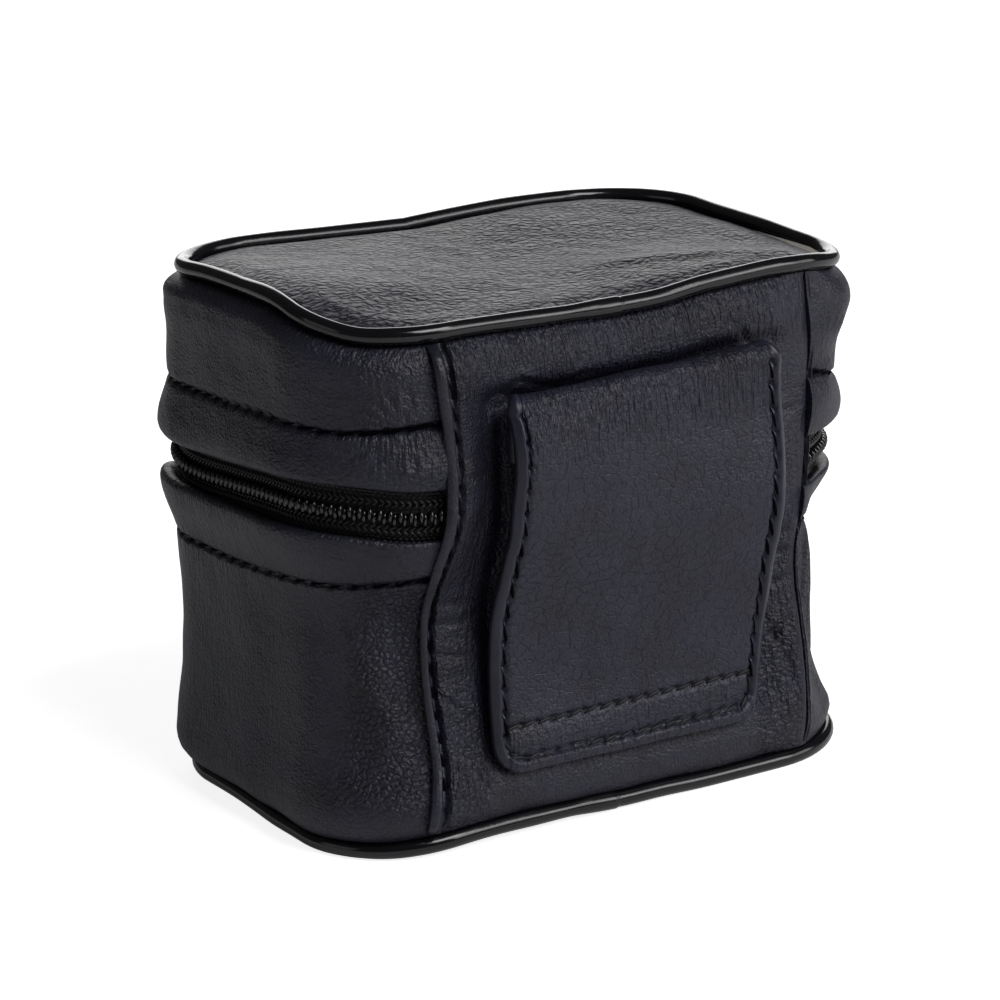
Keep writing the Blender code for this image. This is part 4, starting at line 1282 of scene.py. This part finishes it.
def flat_panel(name, top, material):
    """The top or bottom panel, lofted between its two faces."""
    x, y, inside = panel_grid(0.5 * PIPING_RADIUS)
    if top:
        outer = top_height(x, y, inside)
        inner = outer - LEATHER
        x = x + LEAN
    else:
        outer = 0.45 + 0.75 * edge_lift(x, y, inside, False) + 0.3 * smooth(inside / 6)
        inner = outer + LEATHER
    faces = [np.stack([x, y, outer], -1), np.stack([x, y, inner], -1)[:, ::-1]]
    loops = np.concatenate(faces, 1)
    hide = PANEL_GRAIN * flat_place(loops[..., 0], loops[..., 1])
    surface = textured(np.full(loops.shape[:2], PANEL_PEBBLES), 0.0, 0.0)
    return loft(name, loops, material, hide=hide, surface=surface)


def zip_line(above, out, pitch, phase=0.5, inset=1.2):
    """A line that follows the zip, some way above its centre line and outside the wall."""
    run = np.linspace(BAND_START + inset, PERIMETER - BAND_START - inset, 1400)
    height = hung_zip(run) + above
    return spaced_line(wall(run, height, out), facing(run, height), pitch, phase)


def rounded(half_a, half_b, radius, steps=4):
    """A rectangle with rounded corners, as points going round it."""
    points = []
    for quarter, (side_a, side_b) in enumerate(((1, 1), (-1, 1), (-1, -1), (1, -1))):
        for turn in np.linspace(0, np.pi / 2, steps) + quarter * np.pi / 2:
            points.append((side_a * (half_a - radius) + radius * np.cos(turn),
                           side_b * (half_b - radius) + radius * np.sin(turn)))
    return np.array(points)


def swept(name, path, section, level, material):
    """A body of one section swept along a flat path of points, with level as the direction across it."""
    path = np.asarray(path, float)
    heading = np.gradient(path, axis=0)
    heading = heading / np.linalg.norm(heading, axis=1, keepdims=True)
    level = np.asarray(level, float)
    aside = np.cross(heading, level)
    loops = path[:, None, :] + section[:, :1] * level + section[:, 1:] * aside[:, None, :]
    return loft(name, loops, material)


def zip_slider(name, node, material):
    """A zip slider: two shield-shaped plates with turned-down sides, the post between and the crown."""
    low, high = extent(node)
    centre = (low + high) / 2
    length = (high[0] - low[0]) / 2
    wide = (high[2] - low[2]) / 2
    plate = 0.5
    inner_y = low[1] + plate
    outer_y = inner_y + 4
    nose = 1 if centre[0] < LEAN / 2 else -1
    run = np.sin(np.linspace(-np.pi / 2, np.pi / 2, 22)) * length
    reach = wide * (0.82 + 0.18 * smooth(nose * run / length / 2 + 0.5))
    reach = reach - 1.6 * np.clip((np.abs(run) - length + 1.6) / 1.6, 0, 1) ** 2
    parts = []
    for y, out in ((outer_y, 1), (inner_y, -1)):
        loops = []
        for x, half in zip(run, reach):
            across, deep = rounded(half, plate, 0.35).T
            loops.append(np.stack([0 * across + centre[0] + x, y + deep, centre[2] + across], -1))
        parts.append(loft(name, np.array(loops), material))
        for side in (1, -1):
            path = [(centre[0] + x, y - out * 0.7, centre[2] + side * (wide * 0.9 - 0.3))
                    for x in np.linspace(-length * 0.62, length * 0.62, 8)]
            parts.append(swept(name, path, rounded(0.28, 0.55, 0.15), (0, 0, 1), material))
    post = [(centre[0] + nose * 2.4, y, centre[2]) for y in np.linspace(inner_y, outer_y, 6)]
    parts.append(swept(name, post, rounded(1.5, 0.4, 0.25), (1, 0, 0), material))

    wire = 0.6
    foot = 3.0
    bend = 1.1
    turn = np.linspace(0, np.pi / 2, 7)
    shoulder = np.stack([foot - bend + bend * np.cos(turn), high[1] - wire - bend + bend * np.sin(turn)], -1)
    arch = np.concatenate([[(foot, outer_y), (foot, outer_y + 0.7)], shoulder])
    arch = np.concatenate([arch, (arch * (-1, 1))[::-1]])
    arch = np.stack([centre[0] + arch[:, 0], arch[:, 1], np.full(len(arch), centre[2])], -1)
    turn = np.linspace(0, 2 * np.pi, 12, endpoint=False)
    section = wire * np.stack([np.cos(turn), np.sin(turn)], -1)
    parts.append(swept(name, arch, section, (0, 0, 1), material))
    return merged(name, parts, material)


def leather_pull(name, node, material):
    """A strip of leather folded through the crown and sewn to itself below, and its stitch lines."""
    low, high = extent(node)
    centre = (low + high) / 2
    width = (high[0] - low[0]) / 2
    ply = 1.0
    bar = np.array([centre[1], high[2] - 1.9])
    eye = 0.9 + ply / 2
    below = np.linspace(low[2] + 0.02, bar[1] - 4, 40)
    front = np.stack([np.full(40, bar[0] + ply / 2 + 0.02), below], -1)
    turn = np.linspace(np.radians(-38), np.radians(218), 26)
    over = bar + eye * np.stack([np.cos(turn), np.sin(turn)], -1)
    path = np.concatenate([front, over, (front * (-1, 1) + (2 * bar[0], 0))[::-1]])
    path = np.stack([np.full(len(path), centre[0]), path[:, 0], path[:, 1]], -1)
    obj = swept(name, path, rounded(width, ply / 2, 0.3, 5), (1, 0, 0), material)
    points = np.array([vertex.co for vertex in obj.data.vertices]) / MM
    note(obj, "hide", points[:, [0, 2, 1]])
    note(obj, "surface", np.tile((0.1, 0.0, 0.5), (len(points), 1)))
    lines = []
    for side in (1, -1):
        row = np.empty((60, 3))
        row[:, 0] = centre[0] + side * (width - 0.8)
        row[:, 1] = bar[0] + ply + 0.02
        row[:, 2] = np.linspace(low[2] + 1.2, bar[1] - 4.5, 60)
        lines.append(spaced_line(row, np.tile((0.0, 1.0, 0.0), (60, 1)), 1.9))
    return obj, lines


def stands_for(nodes):
    """Hide the nodes that a piece stands for."""
    if nodes:
        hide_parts(*nodes)


def made(obj, body, slot, *nodes):
    """A piece that rides on one body."""
    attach(obj, body)
    stands_for(nodes)


def bending(obj, heights, slot, *nodes):
    """A piece across the fold in the back, with its placing baked into its mesh. Its heights, between which
    it would bend, are not used.
    """
    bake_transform(obj)
    stands_for(nodes)


# The two halves of the case: whether it is the upper one, its body and its name
HALVES = ((False, "base", "lower"), (True, "lid", "upper"))


def build_shell():
    """The leather, piping and linings of both halves, and the back between them."""
    made(flat_panel("bottom_panel_leather", False, LEATHER_HIDE), "base", "leather", "bottom_panel")
    made(flat_panel("top_panel_leather", True, LEATHER_HIDE), "lid", "leather", "top_panel")
    made(piped_edge("bottom_piping_vinyl", False, -2.0, 9, VINYL), "base", "piping_vinyl", "bottom_piping")
    made(piped_edge("top_piping_vinyl", True, -1.0, 9, VINYL), "lid", "piping_vinyl", "top_piping")
    made(band("lower_band_leather", False, lower_relief, lower_texture, LEATHER_HIDE),
         "base", "leather", "lower_band")
    made(band("upper_band_leather", True, upper_relief, upper_texture, LEATHER_HIDE),
         "lid", "leather", "upper_band")
    bending(back_panel(LEATHER_HIDE), BACK_BEND, "leather", "back_panel_lower", "back_panel_upper")
    bending(belt_loop(STRAP_HIDE), STRAP_BEND, "leather", "belt_loop")

    side_run = np.linspace(BAND_START + 0.8, PERIMETER - BAND_START - 0.8, 300)[:, None]
    back_run = np.linspace(-SEAM + 0.4, SEAM - 0.4, 90)[:, None]
    floor = extent("lower_band_lining")[0][2]
    ceiling = extent("upper_band_lining")[1][2]
    beside_tape = TAPE_MARGIN + 0.3
    lower, lower_flat = wall_lining("lower_lining_cloth", side_run, floor,
                                    hem_level(side_run, False) - beside_tape)
    upper, upper_flat = wall_lining("upper_lining_cloth", side_run, hem_level(side_run, True) + beside_tape,
                                    ceiling)
    back, back_flat = wall_lining("back_lining_cloth", back_run, floor, ceiling)
    made(lower, "base", "lining_cloth", "lower_band_lining")
    made(upper, "lid", "lining_cloth", "upper_band_lining")
    bending(back, BACK_BEND, "lining_cloth", "back_lining_lower", "back_lining_upper")


def build_zip():
    """The two tapes with their coils, chain stitches and weave. The lower teeth lie between the upper
    ones, deeper and shorter."""
    for upper, body, name in HALVES:
        up = 1 if upper else -1
        tape, flat = zip_tape(name + "_tape_cloth", upper)
        made(tape, body, "zip_tape", name + "_zip_tape")
        phase, out, tall = (0.5, -0.75, 2.0) if upper else (1.0, -1.05, 1.5)
        teeth = grains(name + "_coil_teeth", [zip_line(up * TOOTH_ROW, out, TOOTH_PITCH, phase)], COIL,
                       length=2.1, width=0.78, height=tall, slant=90, waver=2)
        made(teeth, body, "zip_coil", name + "_zip_coil")
        for label, row, width, height, slant in (("_chain_stitches", 1.65, 0.46, 0.6, 40),
                                                 ("_chain_returns", 2.3, 0.4, 0.5, -40)):
            chain = grains(name + label, [zip_line(up * row, CHAIN_OUT, CHAIN_PITCH)], TAPE_YARN,
                           length=1.25, width=width, height=height, slant=slant, waver=6, segments=6)
            made(chain, body, "zip_tape")
        rows = enumerate(BEAD_ROWS if upper else BEAD_ROWS[:-1])
        beads = [zip_line(up * row, BEAD_OUT, BEAD_PITCH, 0.5 + 0.5 * (i % 2)) for i, row in rows]
        weave = grains(name + "_tape_weave", beads, TAPE_YARN,
                       length=0.62, width=0.46, height=0.4, slant=14, waver=5, segments=6)
        made(weave, body, "zip_tape")


def build_stitches():
    """The sewing that shows: along both bands, down the back's edges and round the strap."""
    seam_stitch = {"length": 3.7, "width": 0.42, "height": 0.5, "slant": 11, "waver": 5}
    for upper, body, name in HALVES:
        run, _ = HEM_STEPS[upper]
        height = hem_level(run, upper)
        line = spaced_line(wall(run, height, -STITCH_SINK), facing(run, height), STITCH_PITCH)
        made(grains(name + "_band_stitches", [line], THREAD, **seam_stitch), body, None)
    seams = []
    for place in (-WELT_STITCH, WELT_STITCH + RIGHT_WELT):
        height = np.linspace(2.5 * STITCH_PITCH, 21 * STITCH_PITCH, 300)
        points = wall(place, height, -STITCH_SINK)
        seams.append(spaced_line(points, facing(place, height), STITCH_PITCH))
    bending(grains("back_seam_stitches", seams, THREAD, **seam_stitch), BACK_BEND, None)
    for name, lines, thread, length in strap_lines():
        stitches = grains(name, lines, thread, length, width=0.62, height=0.6, slant=16, waver=4)
        bending(stitches, STRAP_BEND, None)


def build_pulls():
    """The two sliders and the leather pulls that hang from them, on the front."""
    for side in ("left", "right"):
        made(zip_slider(side + "_slider_casting", side + "_slider", METAL), "slider_" + side, "slider_metal",
             side + "_slider")
        strip, lines = leather_pull(side + "_pull_leather", side + "_pull", STRAP_HIDE)
        made(strip, "pull_" + side, "leather", side + "_pull")
        stitches = grains(side + "_pull_stitches", lines, THREAD,
                          length=1.5, width=0.4, height=0.35, slant=3, waver=3, segments=6)
        made(stitches, "pull_" + side, None)


def seen_white(tree, mirrored_share):
    """1 for the camera and through glass, this share in reflections, and 0 for other light."""
    path = add(tree, "ShaderNodeLightPath").outputs
    seen = add(tree, "ShaderNodeMath", {0: path["Is Camera Ray"], 1: path["Is Transmission Ray"]},
               operation="MAXIMUM")
    mirror = add(tree, "ShaderNodeMath", {0: path["Is Glossy Ray"], 1: mirrored_share}, operation="MULTIPLY")
    return add(tree, "ShaderNodeMath", {0: seen.outputs[0], 1: mirror.outputs[0]},
               operation="MAXIMUM").outputs[0]


def build_stage():
    """A pale floor that stays white for the camera but keeps the case's shadow, and soft lamps."""
    world = bpy.data.worlds.new("studio")
    bpy.context.scene.world = world
    world.use_nodes = True
    tree = world.node_tree
    tree.nodes.clear()
    dim = 0.05
    light = add(tree, "ShaderNodeMath", {0: seen_white(tree, dim), 1: dim}, operation="MAXIMUM")
    sky = add(tree, "ShaderNodeBackground", {"Color": (1, 1, 1, 1), "Strength": light.outputs[0]})
    add(tree, "ShaderNodeOutputWorld", {"Surface": sky.outputs[0]})

    material, tree = new_material("pale_studio_floor")
    glow = add(tree, "ShaderNodeMath", {0: seen_white(tree, 0.1), 1: 0.85}, operation="MULTIPLY")
    glow = add(tree, "ShaderNodeEmission", {"Strength": glow.outputs[0]})
    matt = add(tree, "ShaderNodeBsdfDiffuse", {"Color": (0.82, 0.82, 0.83, 1)})
    both = add(tree, "ShaderNodeAddShader", {0: matt.outputs[0], 1: glow.outputs[0]})
    add(tree, "ShaderNodeOutputMaterial", {"Surface": both.outputs[0]})
    mesh = bpy.data.meshes.new("studio_floor")
    side = 3.0
    corners = [(-side, -side, 0), (side, -side, 0), (side, side, 0), (-side, side, 0)]
    mesh.from_pydata(corners, [], [(0, 1, 2, 3)])
    mesh.materials.append(material)
    floor = bpy.data.objects.new("studio_floor", mesh)
    bpy.context.scene.collection.objects.link(floor)

    middle = Vector((0, 0, 0.04))
    for name, place, wide, tall, watts in (
        ("high_softbox", (0.2, -0.72, 0.9), 0.6, 0.5, 7.2),
        ("key_softbox", (0.55, -0.95, 0.6), 0.5, 0.5, 3.0),
        ("right_softbox", (0.9, -0.75, 0.4), 0.8, 0.5, 3.2),
        ("back_card", (0.66, 1.02, 0.36), 0.9, 0.6, 3.5),
        ("left_card", (-1.2, 0.1, 0.4), 0.8, 0.6, 0.7),
    ):
        lamp = bpy.data.lights.new(name, "AREA")
        lamp.shape = "RECTANGLE"
        lamp.size = wide
        lamp.size_y = tall
        lamp.energy = watts
        obj = bpy.data.objects.new(name, lamp)
        obj.location = place
        obj.rotation_euler = (middle - Vector(place)).to_track_quat("-Z", "Y").to_euler()
        bpy.context.scene.collection.objects.link(obj)


def build_camera():
    """The photograph's view."""
    azimuth, elevation, roll = (math.radians(a) for a in (VIEW_AZIMUTH, VIEW_ELEVATION, VIEW_ROLL))
    right = Vector((math.cos(azimuth), math.sin(azimuth), 0))
    back = Vector((math.sin(azimuth) * math.cos(elevation), -math.cos(azimuth) * math.cos(elevation),
                   math.sin(elevation)))
    up = back.cross(right)
    side = right * math.cos(roll) + up * math.sin(roll)
    top = up * math.cos(roll) - right * math.sin(roll)
    camera = bpy.data.cameras.new("photo_view")
    camera.sensor_width = SENSOR_WIDTH
    camera.lens = LENS
    camera.clip_start = 0.01
    obj = bpy.data.objects.new("photo_view", camera)
    turn = Matrix((side, top, back)).transposed().to_4x4()
    obj.matrix_world = Matrix.Translation((Vector(VIEW_TARGET) + back * VIEW_DISTANCE) * MM) @ turn
    bpy.context.scene.collection.objects.link(obj)
    bpy.context.scene.camera = obj
    bpy.context.scene.view_settings.view_transform = "Standard"


build_shell()
build_zip()
build_stitches()
build_pulls()
for node, finish in (("bottom_board", BOARD), ("top_board", BOARD), ("bottom_lining", LEVEL_CLOTH),
                     ("top_lining", LEVEL_CLOTH)):
    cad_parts[node].data.materials.clear()
    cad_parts[node].data.materials.append(finish)
build_stage()
build_camera()
